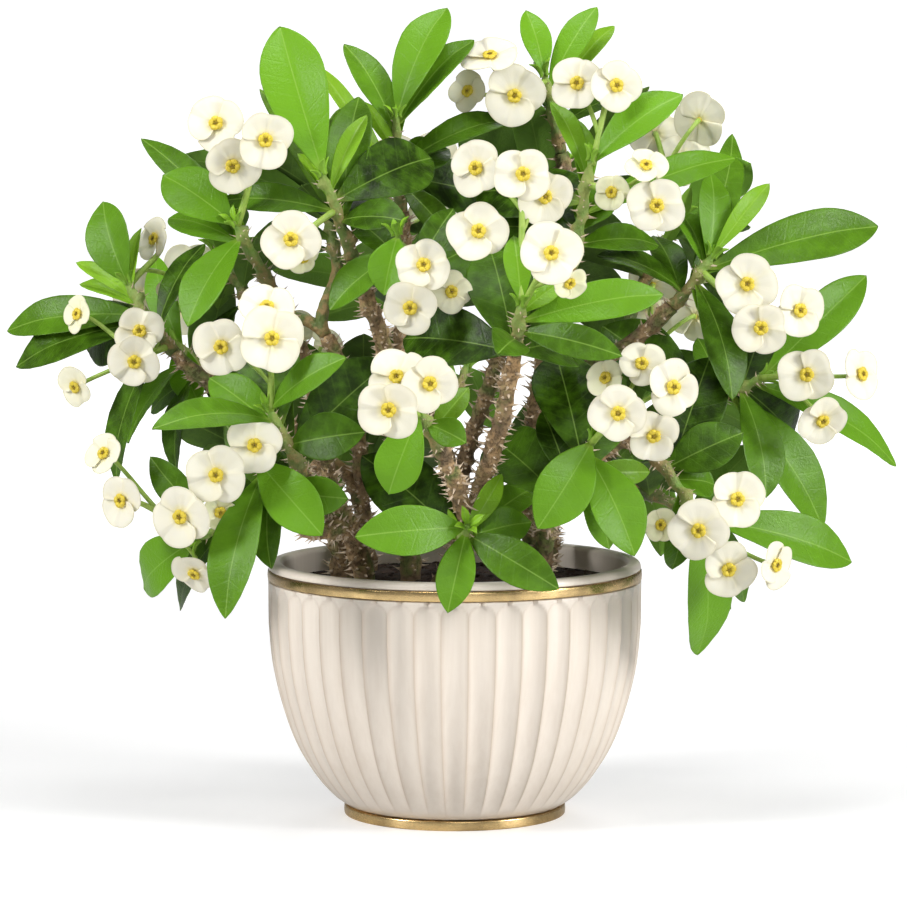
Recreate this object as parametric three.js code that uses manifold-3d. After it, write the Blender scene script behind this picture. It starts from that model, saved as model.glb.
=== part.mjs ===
// A crown of thorns plant (Euphorbia milii) in a fluted ceramic pot with a gold rim band and foot ring.
// Millimetres, +Z up. The origin is the centre of the pot's underside, and the front looks along -Y.
//
// The plant is laid out on a front elevation: a grid of columns and rows, seen from an eye in front of
// the pot. A place is a column, a row (counted downwards) and a depth in mm behind the pot's axis.

import * as THREE from "three";
import { mergeVertices } from "three/addons/utils/BufferGeometryUtils.js";
import Module from "manifold-3d";

const wasm = await Module();
wasm.setup();

// ---------------------------------------------------------------- driving dimensions

const GRID = {
  axisColumn: 456, // the pot's axis
  floorRow: 815, // what the pot stands on
  step: 0.4065, // mm between neighbouring columns or rows at the pot's axis
  eyeDistance: 1790, // from the eye to the pot's axis
  eyeHeight: 322,
};

const POT = {
  height: 104,
  widest: 76.1, // outer radius between the flutes' tops and the lip
  mouthRadius: 70,
  baseRadius: 41.2, // the underside that stands inside the foot ring
  neckDepth: 3, // how far the lip's neck reaches into the wall
  lipRound: [1, 0.9, 3], // the lip's rounded shoulder: in, down, and in again at the top
  mouthRound: [1.6, 1.4], // the lip's rounded inner edge: out and down
  flutes: 44,
  fluteDepth: 1.5,
  fluteTop: 95, // where the flutes' arched heads end
  fluteHead: 4, // height over which the heads run out
  fluteFoot: 6,
  fluteRise: 8, // height over which the flutes deepen from the foot
};

// Fluted wall of the pot from the foot ring up to the rim band: radius, height.
const WALL_PROFILE = [[44.4, 4.4], [59, 18.5], [70.5, 44], [76, 80], [76.3, 90], [76.3, 95]];

// Inside of the pot from its floor to its mouth: radius, height.
const HOLLOW_PROFILE = [[38, 9], [60, 29], [70, 74]];

const BAND = { low: 96.6, high: 100.6, inner: 74.6, outer: 76.5 };
const SEGMENTS = { lip: 44, hollow: 30, foot: 30 };
const FOOT_RING = { height: 3.9, inner: 41.9, outer: 45.4 };
const SOIL = {
  level: 94.5, mound: 2.6, lump: 0.7, rings: [50, 24],
  foot: 80, // how deep the stems reach
  hole: 5.2, holeSides: 6,
};
const TOUCH = 0.35; // gap kept between pieces that touch
const CLEARANCE = 0.4; // room that a leaf or flower needs all round
const SHORTEST_EDGE = 0.05;

const STEM = {
  trunk: 4.1, fork: 3.5, branch: 3.2, end: 2.7, shoot: 2.4, tip: 1.1, // radii from the soil to the tip
  thinner: 0.1, // how much thinner each further branch of a fork is
  sides: 5,
  step: 30, // length of a branch between two rings
  collar: 4, // height over the soil at which a trunk begins to lean
  sunk: 2.5, // how far below the fork the first branch begins
  joint: 0.5, // gap between a branch's end and its shoot
  limb: 0.2, // how far towards the heart a far-side shoot forks, unless it has its own share
  bow: 0.35, // how strongly trunks, branches and stalks bend
  pathBow: 0.67, // how strongly a shoot bends towards the middle of its path
};
const THORN = { length: 5.6, root: 0.95, sunk: 1.9, every: 11, margin: 5, tilt: 1.1 };
const LEAF = {
  thick: 1.8,
  flat: 0.33, // share of the thickness above the blade's middle; the keel has the rest
  sunk: 0.7, // how far the foot reaches into the stem
  arch: 0.09, // rise of the blade as a share of its length
  lean: 0.22, // how far a leaf leans along its stem, as a share of its length
  deepest: 0.4, // the most that a tip lies behind or before its foot, as a share of its length
  highest: 0.96, lowest: 0.12, // where along the shoot the first and the last leaf stand
  twist: 0.5,
  young: 5, // half-width under which a leaf is a young one
  narrowest: 0.8, // the least share of its width that a tilted leaf is taken to show
};
// The leaves that fill the bush's inside, where their shoots have room for them.
const INNER = {
  count: 50,
  feet: [0.05, 0.35, 0.65], // where on a shoot they may stand
  reaches: [54, 42], // how long they may be
  half: 12,
  ways: 48, // how many ways round each foot they try
  widest: 0.8, narrowest: -0.6, // cosines of the least and the most angle to the shoot's own way
  middle: 0.6, // where a leaf is widest
  inward: 8, // how far behind its foot a leaf's middle lies
  front: -75, // the nearest depth of its middle
  depthShare: 0.15, // how much a gap in depth counts as room
  edgeOn: 0.85, // the most that a leaf may point along its own light
};
const BODY = { centre: [0, 0, 200], radii: [158, 110, 112], floor: 110 }; // where inner leaves end
const STALK = { peduncle: 1.5, pedicel: 1, elbow: 0.4, firstFork: 0.3, nextFork: 0.14, follow: 0.4 };
const FLOWER = { thick: 1.2, dish: 1.6, notchDish: 0.2, knob: 2.3, knobLow: 0.8, knobHigh: 2.4, spacing: 4 };
const HEART = new THREE.Vector3(0, 0, 105); // the middle of the bush, which everything grows away from

// ---------------------------------------------------------------- planting plan

// Each main stem stands in the soil at its root (x, y in mm), rises to its fork and carries shoots.
const MAIN_STEMS = [
  {
    name: "stem_left_low", root: [-36, -30], fork: [352, 528, -40],
    carries: ["left_low", "left_mid", "left_edge"],
  },
  { name: "stem_left", root: [-46, -2], fork: [330, 480, 0], carries: ["left", "left_dark", "left_high"] },
  { name: "stem_top", root: [-18, -6], fork: [402, 440, -20], carries: ["top_left", "top", "centre_high"] },
  { name: "stem_front", root: [-6, -48], fork: [456, 566, -52], carries: ["centre", "front", "rim"] },
  { name: "stem_right_low", root: [34, -36], fork: [548, 530, -48], carries: ["right_mid", "right_low"] },
  {
    name: "stem_right", root: [32, -4], fork: [534, 440, -8],
    carries: ["right", "right_edge", "top_right", "top_back"],
  },
  {
    name: "stem_back_right", root: [38, 28], fork: [550, 546, 38],
    carries: ["back_right_low", "back_right"],
  },
  { name: "stem_back", root: [2, 44], fork: [458, 520, 54], carries: ["back_middle", "back_top"] },
  { name: "stem_back_left", root: [-36, 34], fork: [366, 546, 40], carries: ["back_left_low", "back_left"] },
];

// Each shoot is a green stem end along a path of column, row, depth. Its leaves are listed from the
// shoot's own tip downwards, each with its tip on the elevation and its width in grid steps; deep
// sets the leaf's tip behind (+) or before (-) its usual place.
const SHOOTS = [
  {
    name: "left", path: [[176, 350, -8], [148, 316, -4], [128, 280, 2]],
    leaves: [
      { tip: [104, 199], wide: 48 },
      { tip: [142, 225], wide: 14 },
      { tip: [76, 254], wide: 16 },
      { tip: [80, 275], wide: 16 },
      { tip: [6, 326], wide: 38 },
      { tip: [15, 362], wide: 47 },
      { tip: [205, 240], wide: 28 },
      { tip: [67, 448], wide: 35 },
    ],
  },
  {
    name: "left_dark", path: [[226, 398, 14], [196, 366, 22], [176, 338, 28]],
    leaves: [
      { tip: [200, 402], wide: 36 },
      { tip: [150, 250], wide: 34 },
      { tip: [127, 440], wide: 36 },
      { tip: [175, 470], wide: 34 },
      { tip: [135, 398], wide: 30 },
      { tip: [238, 300], wide: 30, deep: 14 },
    ],
  },
  {
    name: "left_mid", path: [[304, 474, -72], [288, 440, -80], [268, 405, -86]],
    leaves: [
      { tip: [353, 358], wide: 30 },
      { tip: [135, 487], wide: 33 },
      { tip: [210, 375], wide: 40 },
      { tip: [365, 430], wide: 45 },
      { tip: [280, 362], wide: 26 },
    ],
  },
  {
    name: "left_high", path: [[272, 285, -32], [254, 252, -38], [236, 220, -44]],
    leaves: [
      { tip: [165, 172], wide: 50 },
      { tip: [188, 323], wide: 42 },
      { tip: [170, 215], wide: 34, deep: 12 },
      { tip: [144, 148], wide: 30, deep: 16 },
      { tip: [222, 186], wide: 16 },
    ],
  },
  {
    name: "left_low", path: [[304, 524, -66], [276, 486, -74], [255, 455, -78]],
    leaves: [
      { tip: [322, 533], wide: 50 },
      { tip: [223, 617], wide: 46 },
      { tip: [270, 567], wide: 34 },
      { tip: [348, 497], wide: 38 },
      { tip: [225, 420], wide: 28 },
    ],
  },
  {
    name: "left_edge", path: [[262, 508, -34], [228, 524, -38], [196, 538, -42]],
    leaves: [
      { tip: [104, 585], wide: 50 },
      { tip: [150, 455], wide: 34 },
      { tip: [176, 610], wide: 30, deep: 14 },
    ],
  },
  {
    name: "top_left", path: [[354, 255, -44], [338, 212, -48], [324, 170, -52]],
    leaves: [
      { tip: [282, 25], wide: 64 },
      { tip: [308, 115], wide: 14 },
      { tip: [368, 112], wide: 20 },
      { tip: [300, 150], wide: 14 },
      { tip: [223, 197], wide: 30 },
      { tip: [408, 218], wide: 36 },
      { tip: [360, 92], wide: 44, deep: 16 },
      { tip: [262, 82], wide: 26, deep: 20 },
    ],
  },
  {
    name: "top", path: [[403, 208, -2], [399, 160, -6], [398, 112, -10]],
    leaves: [
      { tip: [447, 5], wide: 45 },
      { tip: [474, 36], wide: 32 },
      { tip: [347, 41], wide: 32 },
      { tip: [372, 51], wide: 20 },
      { tip: [412, 60], wide: 14 },
      { tip: [362, 98], wide: 16 },
      { tip: [515, 115], wide: 32 },
      { tip: [450, 145], wide: 40 },
      { tip: [455, 238], wide: 28 },
      { tip: [315, 60], wide: 18, deep: 18 },
    ],
  },
  {
    name: "centre_high", path: [[418, 305, -52], [406, 266, -58], [398, 230, -62]],
    leaves: [
      { tip: [385, 292], wide: 40 },
      { tip: [324, 288], wide: 33 },
      { tip: [345, 222], wide: 32, deep: 8 },
      { tip: [455, 205], wide: 30, deep: 8 },
    ],
  },
  {
    name: "top_back", path: [[562, 150, 26], [553, 110, 24], [545, 72, 22]],
    leaves: [
      { tip: [527, 9], wide: 30 },
      { tip: [597, 5], wide: 30 },
      { tip: [615, 22], wide: 22, deep: 10 },
      { tip: [500, 60], wide: 24, deep: 16 },
      { tip: [632, 92], wide: 28, deep: 12 },
    ],
  },
  {
    name: "top_right", path: [[572, 268, -30], [582, 222, -34], [592, 156, -38]],
    leaves: [
      { tip: [675, 97], wide: 38 },
      { tip: [553, 98], wide: 22 },
      { tip: [580, 118], wide: 24 },
      { tip: [737, 153], wide: 32 },
      { tip: [608, 186], wide: 42 },
      { tip: [660, 240], wide: 34, deep: 10 },
    ],
  },
  {
    name: "right", path: [[674, 304, -18], [695, 280, -20], [714, 252, -22]],
    leaves: [
      { tip: [770, 180], wide: 22 },
      { tip: [712, 168], wide: 35 },
      { tip: [680, 207], wide: 34 },
      { tip: [880, 222], wide: 50 },
      { tip: [815, 232], wide: 26 },
      { tip: [735, 397], wide: 42 },
      { tip: [712, 322], wide: 20 },
      { tip: [735, 130], wide: 35, deep: 20 },
      { tip: [600, 250], wide: 36, deep: 8 },
      { tip: [655, 232], wide: 34, deep: 12 },
    ],
  },
  {
    name: "right_edge", path: [[700, 408, -10], [735, 388, -12], [766, 374, -14]],
    leaves: [
      { tip: [868, 272], wide: 45 },
      { tip: [902, 462], wide: 36 },
      { tip: [770, 495], wide: 43 },
      { tip: [837, 522], wide: 47 },
      { tip: [700, 335], wide: 34, deep: 10 },
    ],
  },
  {
    name: "right_low", path: [[650, 448, -42], [682, 486, -50], [706, 520, -56]],
    leaves: [
      { tip: [857, 560], wide: 45 },
      { tip: [705, 658], wide: 50 },
      { tip: [749, 602], wide: 32, deep: 14 },
      { tip: [676, 570], wide: 34 },
      { tip: [718, 482], wide: 35 },
      { tip: [745, 430], wide: 46 },
    ],
  },
  {
    name: "centre", path: [[516, 352, -92], [520, 326, -96], [523, 300, -100]],
    leaves: [
      { tip: [515, 232], wide: 27 },
      { tip: [562, 280], wide: 22 },
      { tip: [665, 290], wide: 38 },
      { tip: [623, 353], wide: 32 },
      { tip: [500, 350], wide: 40, deep: -24 },
    ],
  },
  {
    name: "front", path: [[440, 446, -104], [430, 428, -110], [420, 408, -115]],
    leaves: [
      { tip: [386, 488], wide: 45 },
      { tip: [467, 440], wide: 28 },
      { tip: [470, 385], wide: 24 },
    ],
  },
  {
    name: "right_mid", path: [[562, 502, -74], [580, 470, -82], [595, 436, -88]],
    leaves: [
      { tip: [540, 527], wide: 55 },
      { tip: [640, 550], wide: 50 },
      { tip: [612, 548], wide: 32, deep: 14 },
      { tip: [653, 470], wide: 25 },
      { tip: [544, 408], wide: 32 },
    ],
  },
  {
    name: "rim", path: [[461, 546, -66], [465, 538, -75], [469, 525, -84]],
    leaves: [
      { tip: [357, 535], wide: 48 },
      { tip: [449, 612], wide: 37 },
      { tip: [560, 588], wide: 42 },
      { tip: [504, 472], wide: 22 },
      { tip: [533, 520], wide: 36 },
      { tip: [526, 437], wide: 33, deep: 10 },
      { tip: [457, 498], wide: 14 },
    ],
  },
  // The far side's shoots fork into arms that repeat front shoots, turned about the pot's axis, without
  // the leaves that would stand out past the bush.
  { name: "back_right_low", arms: [{ like: "left_low", turn: 180 }, { like: "left_mid", turn: 172 }] },
  {
    name: "back_right", limb: 0.36,
    arms: [{ like: "left_edge", turn: 176, skip: [0] }, { like: "left_high", turn: 170, skip: [3] }],
  },
  { name: "back_middle", arms: [{ like: "front", turn: 184 }, { like: "centre", turn: 178 }] },
  {
    name: "back_left_low",
    arms: [{ like: "right_mid", turn: 176 }, { like: "right_low", turn: 186, skip: [0, 1, 2] }],
  },
  {
    name: "back_left",
    arms: [{ like: "right", turn: 172, skip: [0, 3, 4, 7] }, { like: "top_right", turn: 184, skip: [0] }],
  },
  {
    name: "back_top",
    arms: [{ like: "top_left", turn: 186, skip: [0, 1] }, { like: "centre_high", turn: 176 }],
  },
];

// Each bloom cluster grows from a shoot and holds flowers, the nearest first. A flower has its middle
// and its width on the elevation; face is how far it looks to the right and upwards (0: straight out).
const BLOOMS = [
  {
    name: "bloom_top_left", shoot: "left_high", depth: -56,
    flowers: [
      { at: [267, 138], wide: 60, face: [0.2, 0.0] },
      { at: [235, 163], wide: 60, face: [0.0, -0.3] },
      { at: [219, 122], wide: 62, face: [-0.2, 0.3] },
    ],
  },
  {
    name: "bloom_high_left", shoot: "top_left", depth: -68,
    flowers: [
      { at: [293, 237], wide: 60, face: [-0.1, 0.1] },
      { at: [308, 258], wide: 34, face: [0.4, -0.3] },
    ],
  },
  {
    name: "bloom_left_back", shoot: "left", depth: 20,
    flowers: [
      { at: [157, 237], wide: 48, face: [-0.7, 0.3] },
      { at: [176, 282], wide: 44, face: [0.3, -0.6] },
    ],
  },
  {
    name: "bloom_left_mid", shoot: "left_mid", depth: -98,
    flowers: [
      { at: [273, 336], wide: 66, face: [0.1, 0.1] },
      { at: [223, 344], wide: 58, face: [-0.2, -0.1] },
      { at: [268, 300], wide: 58, face: [0.0, 0.6] },
    ],
  },
  {
    name: "bloom_left", shoot: "left", depth: -22,
    flowers: [
      { at: [136, 359], wide: 56, face: [-0.1, -0.1] },
      { at: [141, 327], wide: 54, face: [0.1, 0.3] },
      { at: [77, 384], wide: 46, face: [-0.6, -0.3] },
      { at: [80, 312], wide: 42, face: [-0.7, 0.2] },
    ],
  },
  {
    name: "bloom_left_front", shoot: "left_low", depth: -96,
    flowers: [
      { at: [217, 473], wide: 62, face: [-0.1, 0.0] },
      { at: [186, 513], wide: 64, face: [-0.4, -0.1] },
      { at: [255, 444], wide: 58, face: [0.1, 0.3] },
      { at: [220, 510], wide: 38, face: [0.3, -0.3] },
    ],
  },
  {
    name: "bloom_left_low", shoot: "left_edge", depth: -48,
    flowers: [
      { at: [122, 499], wide: 56, face: [-0.6, 0.0] },
      { at: [195, 572], wide: 50, face: [-0.4, -0.6] },
      { at: [105, 452], wide: 46, face: [-0.5, 0.4] },
    ],
  },
  {
    name: "bloom_centre_high", shoot: "centre_high", depth: -88,
    flowers: [
      { at: [412, 305], wide: 56, face: [-0.2, -0.1] },
      { at: [425, 263], wide: 56, face: [0.0, 0.3] },
      { at: [452, 289], wide: 44, face: [0.3, 0.0] },
    ],
  },
  {
    name: "bloom_crown", shoot: "centre", depth: -92,
    flowers: [
      { at: [524, 172], wide: 58, face: [0.0, 0.1] },
      { at: [480, 229], wide: 62, face: [-0.1, 0.2] },
      { at: [545, 194], wide: 58, face: [0.3, -0.1] },
      { at: [478, 166], wide: 58, face: [-0.4, 0.1] },
    ],
  },
  {
    name: "bloom_top", shoot: "top_back", depth: 2,
    flowers: [
      { at: [515, 94], wide: 66, face: [0.1, 0.0] },
      { at: [492, 64], wide: 66, face: [-0.1, 0.85] },
      { at: [470, 90], wide: 46, face: [-0.5, 0.3] },
    ],
  },
  {
    name: "bloom_top_right", shoot: "top_right", depth: -40,
    flowers: [
      { at: [616, 84], wide: 56, face: [0.3, 0.1] },
      { at: [578, 82], wide: 56, face: [-0.2, 0.2] },
    ],
  },
  {
    name: "bloom_right_high", shoot: "top_right", depth: -64,
    flowers: [
      { at: [657, 203], wide: 62, face: [0.1, 0.0] },
      { at: [645, 170], wide: 44, face: [0.1, 0.6] },
      { at: [613, 190], wide: 40, face: [-0.4, 0.1] },
    ],
  },
  {
    name: "bloom_centre", shoot: "centre", depth: -116,
    flowers: [
      { at: [552, 251], wide: 64, face: [0.1, 0.2] },
      { at: [570, 280], wide: 36, face: [0.4, -0.4] },
    ],
  },
  {
    name: "bloom_right", shoot: "right", depth: -50,
    flowers: [
      { at: [762, 325], wide: 58, face: [0.0, -0.1] },
      { at: [748, 282], wide: 64, face: [0.0, 0.2] },
      { at: [800, 308], wide: 58, face: [0.4, 0.1] },
    ],
  },
  {
    name: "bloom_right_edge", shoot: "right_edge", depth: -36,
    flowers: [
      { at: [808, 372], wide: 60, face: [0.0, 0.0] },
      { at: [820, 413], wide: 54, face: [0.3, -0.4] },
      { at: [862, 372], wide: 58, face: [0.7, 0.2] },
    ],
  },
  {
    name: "bloom_front", shoot: "front", depth: -132,
    flowers: [
      { at: [390, 407], wide: 62, face: [-0.1, -0.1] },
      { at: [430, 381], wide: 58, face: [0.3, 0.0] },
      { at: [397, 371], wide: 62, face: [-0.1, 0.5] },
    ],
  },
  {
    name: "bloom_right_mid", shoot: "right_mid", depth: -108,
    flowers: [
      { at: [620, 411], wide: 58, face: [-0.1, 0.0] },
      { at: [655, 433], wide: 54, face: [0.1, -0.3] },
      { at: [674, 385], wide: 58, face: [0.3, 0.1] },
      { at: [643, 362], wide: 48, face: [0.0, 0.4] },
      { at: [608, 376], wide: 42, face: [-0.5, 0.3] },
    ],
  },
  {
    name: "bloom_right_low", shoot: "right_low", depth: -78,
    flowers: [
      { at: [701, 529], wide: 63, face: [-0.1, 0.0] },
      { at: [739, 498], wide: 60, face: [0.2, 0.2] },
      { at: [731, 568], wide: 58, face: [0.1, -0.2] },
      { at: [770, 562], wide: 52, face: [0.7, -0.1] },
      { at: [664, 524], wide: 36, face: [-0.5, 0.2] },
    ],
  },
  { name: "bloom_back_right", like: "bloom_left_mid", turn: 172, shoot: "back_right_low" },
  { name: "bloom_back_high", like: "bloom_top_left", turn: 170, shoot: "back_right" },
  { name: "bloom_back_middle", like: "bloom_crown", turn: 180, shoot: "back_middle" },
  { name: "bloom_back_left", like: "bloom_right_mid", turn: 178, shoot: "back_left_low" },
  { name: "bloom_back_edge", like: "bloom_right", turn: 174, shoot: "back_left" },
];

const COLOURS = {
  glaze: { color: 0xe9dfd0, roughness: 0.35, metalness: 0 },
  gold: { color: 0xc79a4b, roughness: 0.3, metalness: 1 },
  soil: { color: 0x2a1c12, roughness: 0.95, metalness: 0 },
  wood: { color: 0x7a5a3c, roughness: 0.85, metalness: 0 },
  leaf: { color: 0x3f8f2a, roughness: 0.45, metalness: 0 },
  bloom: { color: 0xf6efd6, roughness: 0.6, metalness: 0 },
};

// ---------------------------------------------------------------- vectors and places

const UP = new THREE.Vector3(0, 0, 1);

function place([column, row, depth]) {
  const spread = (GRID.eyeDistance + depth) / GRID.eyeDistance;
  const across = (column - GRID.axisColumn) * GRID.step;
  const above = (GRID.floorRow - row) * GRID.step - GRID.eyeHeight;
  return new THREE.Vector3(across * spread, depth, GRID.eyeHeight + above * spread);
}

function turned(vector, degrees = 0) {
  return vector.clone().applyAxisAngle(UP, THREE.MathUtils.degToRad(degrees));
}

function along(from, direction, distance) {
  return from.clone().addScaledVector(direction, distance);
}

function direction(from, to) {
  return to.clone().sub(from).normalize();
}

function square(vector, axis) {
  return vector.clone().addScaledVector(axis, -vector.dot(axis)).normalize();
}

// A repeatable draw between 0 and 1 from two whole numbers.
const DRAW = { span: 4294967296, times: 1664525, plus: 1013904223, spread: [7919, 104729, 12345] };

function draw(first, second) {
  let state = (first * DRAW.spread[0] + second * DRAW.spread[1] + DRAW.spread[2]) % DRAW.span;
  for (let turn = 0; turn < 3; turn++) state = (state * DRAW.times + DRAW.plus) % DRAW.span;
  return state / DRAW.span;
}

// ---------------------------------------------------------------- solids

function solidFrom(points, faces) {
  const vertProperties = new Float32Array(points.flatMap((point) => point.toArray()));
  const triVerts = new Uint32Array(faces.flat());
  return new wasm.Manifold(new wasm.Mesh({ numProp: 3, vertProperties, triVerts }));
}

function solidOf(geometry) {
  const bare = geometry.clone();
  bare.deleteAttribute("normal");
  bare.deleteAttribute("uv");
  const merged = mergeVertices(bare, 1e-4);
  const vertProperties = merged.getAttribute("position").array;
  return new wasm.Manifold(new wasm.Mesh({ numProp: 3, vertProperties, triVerts: merged.index.array }));
}

// A closed solid through rings of points that run anticlockwise about the way it goes. A ring of one
// point is a tip. Unequal rings are joined point by point, as far round each as the other.
function loft(rings) {
  const faces = [];
  let near = 0;
  for (let r = 0; r + 1 < rings.length; r++) {
    const [count, next] = [rings[r].length, rings[r + 1].length];
    const far = near + count;
    faces.push(...(count === next ? evenStrip(near, far, count) : unevenStrip(near, count, far, next)));
    near = far;
  }
  for (let i = 1; i + 1 < rings[0].length; i++) faces.push([0, i + 1, i]);
  for (let i = 1; i + 1 < rings.at(-1).length; i++) faces.push([near, near + i, near + i + 1]);
  return solidFrom(rings.flat(), faces);
}

function evenStrip(near, far, count) {
  const faces = [];
  for (let i = 0; i < count; i++) {
    const j = (i + 1) % count;
    faces.push([near + i, near + j, far + j], [near + i, far + j, far + i]);
  }
  return faces;
}

function unevenStrip(near, count, far, next) {
  const faces = [];
  let [i, j] = [0, 0];
  while (i < count || j < next) {
    const here = near + (i % count);
    const there = far + (j % next);
    if (j >= next || (i < count && (i + 1) / count < (j + 1) / next)) {
      i += 1;
      if (count > 1) faces.push([here, near + (i % count), there]);
    } else {
      j += 1;
      if (next > 1) faces.push([here, far + (j % next), there]);
    }
  }
  return faces;
}

// A ring of points round a centre, square to the axis.
function ring(centre, axis, towards, radius, sides) {
  const side = square(towards, axis);
  const other = axis.clone().cross(side);
  return Array.from({ length: sides }, (_, i) => {
    const angle = (i / sides) * 2 * Math.PI;
    return along(along(centre, side, radius * Math.cos(angle)), other, radius * Math.sin(angle));
  });
}

// The world axis that a direction leans to least, for setting out rings along it.
function reference(axis) {
  const size = axis.toArray().map(Math.abs);
  const least = size.indexOf(Math.min(...size));
  return new THREE.Vector3().setComponent(least, 1);
}

// Evenly spaced stations of a tube along a curve: its middle, the way it goes and its radius.
function stations(curve, startRadius, endRadius, steps) {
  return Array.from({ length: steps + 1 }, (_, step) => {
    const t = step / steps;
    const radius = startRadius + (endRadius - startRadius) * t;
    return { at: curve.getPoint(t), way: curve.getTangent(t), radius };
  });
}

function tube(stops, sides) {
  const first = reference(direction(stops[0].at, stops.at(-1).at));
  return loft(stops.map(({ at, way, radius }) => ring(at, way, first, radius, sides)));
}

function bend(start, startWay, end, endWay, pull) {
  const reach = start.distanceTo(end) * pull;
  return new THREE.CubicBezierCurve3(start, along(start, startWay, reach), along(end, endWay, -reach), end);
}

function joined(solids) {
  return solids.reduce((whole, piece) => whole.add(piece));
}

// The largest body of a union, without scraps, sealed hollows or edges too short to matter.
function mainBody(solid) {
  const body = solid.decompose().sort((a, b) => b.volume() - a.volume())[0];
  return body.asOriginal().simplify(SHORTEST_EDGE);
}

// Everything that stands already, kept with its node's name and its box.
const standing = [];

function boxOf(solid) {
  const { min, max } = solid.boundingBox();
  return new THREE.Box3(new THREE.Vector3(...min), new THREE.Vector3(...max));
}

function stand(node, solid) {
  standing.push({ node, solid, box: boxOf(solid) });
}

function isClear(node, solid) {
  const box = boxOf(solid);
  return standing.every((other) => other.node === node || !other.box.intersectsBox(box)
    || other.solid.intersect(solid).isEmpty());
}

function isApart(solid, others) {
  return others.every((other) => other.intersect(solid).isEmpty());
}

// ---------------------------------------------------------------- pot, band, foot ring and soil

function lathe(profile, segments) {
  const outline = profile.map(([radius, height]) => new THREE.Vector2(radius, height));
  return new THREE.LatheGeometry(outline, segments).rotateX(Math.PI / 2);
}

function hoop(inner, outer, low, high, segments) {
  const profile = [[inner, low], [outer, low], [outer, high], [inner, high], [inner, low]];
  return solidOf(lathe(profile, segments));
}

// How deep the flutes are at a height: full on the wall, fading out at the foot and under the band.
function fluteDepthAt(height) {
  const head = THREE.MathUtils.clamp((POT.fluteTop - height) / POT.fluteHead, 0, 1);
  const foot = THREE.MathUtils.clamp((height - POT.fluteFoot) / POT.fluteRise, 0, 1);
  return POT.fluteDepth * Math.min(head, foot);
}

function fluteWall(geometry) {
  const position = geometry.getAttribute("position");
  const pitch = (2 * Math.PI) / POT.flutes;
  for (let i = 0; i < position.count; i++) {
    const [x, y, z] = [position.getX(i), position.getY(i), position.getZ(i)];
    const radius = Math.hypot(x, y);
    if (radius < WALL_PROFILE[0][0] - TOUCH) continue;
    const turns = Math.atan2(y, x) / pitch;
    const hollow = Math.abs(turns - Math.round(turns)) < 0.25 ? 1 : 0;
    const scale = (radius - hollow * fluteDepthAt(z)) / radius;
    position.setXY(i, x * scale, y * scale);
  }
  return geometry;
}

function makePot() {
  const shoulder = BAND.low - TOUCH;
  const neck = BAND.inner - TOUCH;
  const [shoulderIn, shoulderDown, topIn] = POT.lipRound;
  const [edgeOut, edgeDown] = POT.mouthRound;
  const above = POT.height + TOUCH;
  const body = [
    [0, 0], [POT.baseRadius, 0], [POT.baseRadius, FOOT_RING.height + TOUCH], ...WALL_PROFILE,
    [POT.widest, shoulder], [0, shoulder],
  ];
  const lip = [
    [0, shoulder - POT.neckDepth], [neck, shoulder - POT.neckDepth], [neck, BAND.high + TOUCH],
    [POT.widest, BAND.high + TOUCH], [POT.widest - shoulderIn, POT.height - shoulderDown],
    [POT.widest - topIn, POT.height], [0, POT.height],
  ];
  const hollow = [
    [0, HOLLOW_PROFILE[0][1]], ...HOLLOW_PROFILE, [POT.mouthRadius, POT.height - edgeDown],
    [POT.mouthRadius + edgeOut, above], [0, above],
  ];
  return solidOf(fluteWall(lathe(body, POT.flutes * 2)))
    .add(solidOf(lathe(lip, SEGMENTS.lip)))
    .subtract(solidOf(lathe(hollow, SEGMENTS.hollow)));
}

function makeBand() {
  return hoop(BAND.inner, BAND.outer, BAND.low, BAND.high, SEGMENTS.lip);
}

function makeFootRing() {
  return hoop(FOOT_RING.inner, FOOT_RING.outer, 0, FOOT_RING.height, SEGMENTS.foot);
}

// Height of the soil's lumps at a spot, between about -1.6 and 1.6.
function lumpsAt(x, y) {
  const hills = Math.sin(x * 0.31 + 1.3) * Math.cos(y * 0.27 + 0.4);
  const furrows = Math.sin((x + y) * 0.47);
  return hills + 0.6 * furrows;
}

// The soil fills the pot to a low, lumpy mound and has a plain hole for every main stem.
function makeSoil() {
  const edge = POT.mouthRadius - TOUCH;
  const inside = HOLLOW_PROFILE.map(([radius, height]) => [radius - TOUCH, height + TOUCH]);
  const top = [edge, ...SOIL.rings].map((radius) => [radius, SOIL.level]);
  const geometry = lathe([[0, inside[0][1]], ...inside, ...top, [0, SOIL.level]], SEGMENTS.hollow);
  const position = geometry.getAttribute("position");
  for (let i = 0; i < position.count; i++) {
    const [x, y, z] = [position.getX(i), position.getY(i), position.getZ(i)];
    if (z < SOIL.level - TOUCH) continue;
    const fromEdge = Math.max(0, 1 - Math.hypot(x, y) / edge);
    const lumps = SOIL.lump * lumpsAt(x, y) * Math.min(1, fromEdge * 3);
    position.setZ(i, z + SOIL.mound * fromEdge + lumps);
  }
  const holes = MAIN_STEMS.map(({ root: [x, y] }) => {
    const ends = [SOIL.foot - TOUCH, POT.height].map((height) => new THREE.Vector3(x, y, height));
    return loft(ends.map((centre) => ring(centre, UP, reference(UP), SOIL.hole, SOIL.holeSides)));
  });
  return solidOf(geometry).subtract(joined(holes));
}

// ---------------------------------------------------------------- shoots

// An entry's own plan, or that of the entry it is like, turned about the pot's axis.
function planOf(entry, list) {
  const model = entry.like ? list.find((other) => other.name === entry.like) : entry;
  return { ...model, ...entry, turn: entry.turn ?? 0 };
}

function pathCurve(plan) {
  const [start, middle, end] = plan.path.map((spot) => turned(place(spot), plan.turn));
  const pulls = [start, end].map((point) => point.clone().lerp(middle, STEM.pathBow));
  return new THREE.CubicBezierCurve3(start, ...pulls, end);
}

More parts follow.
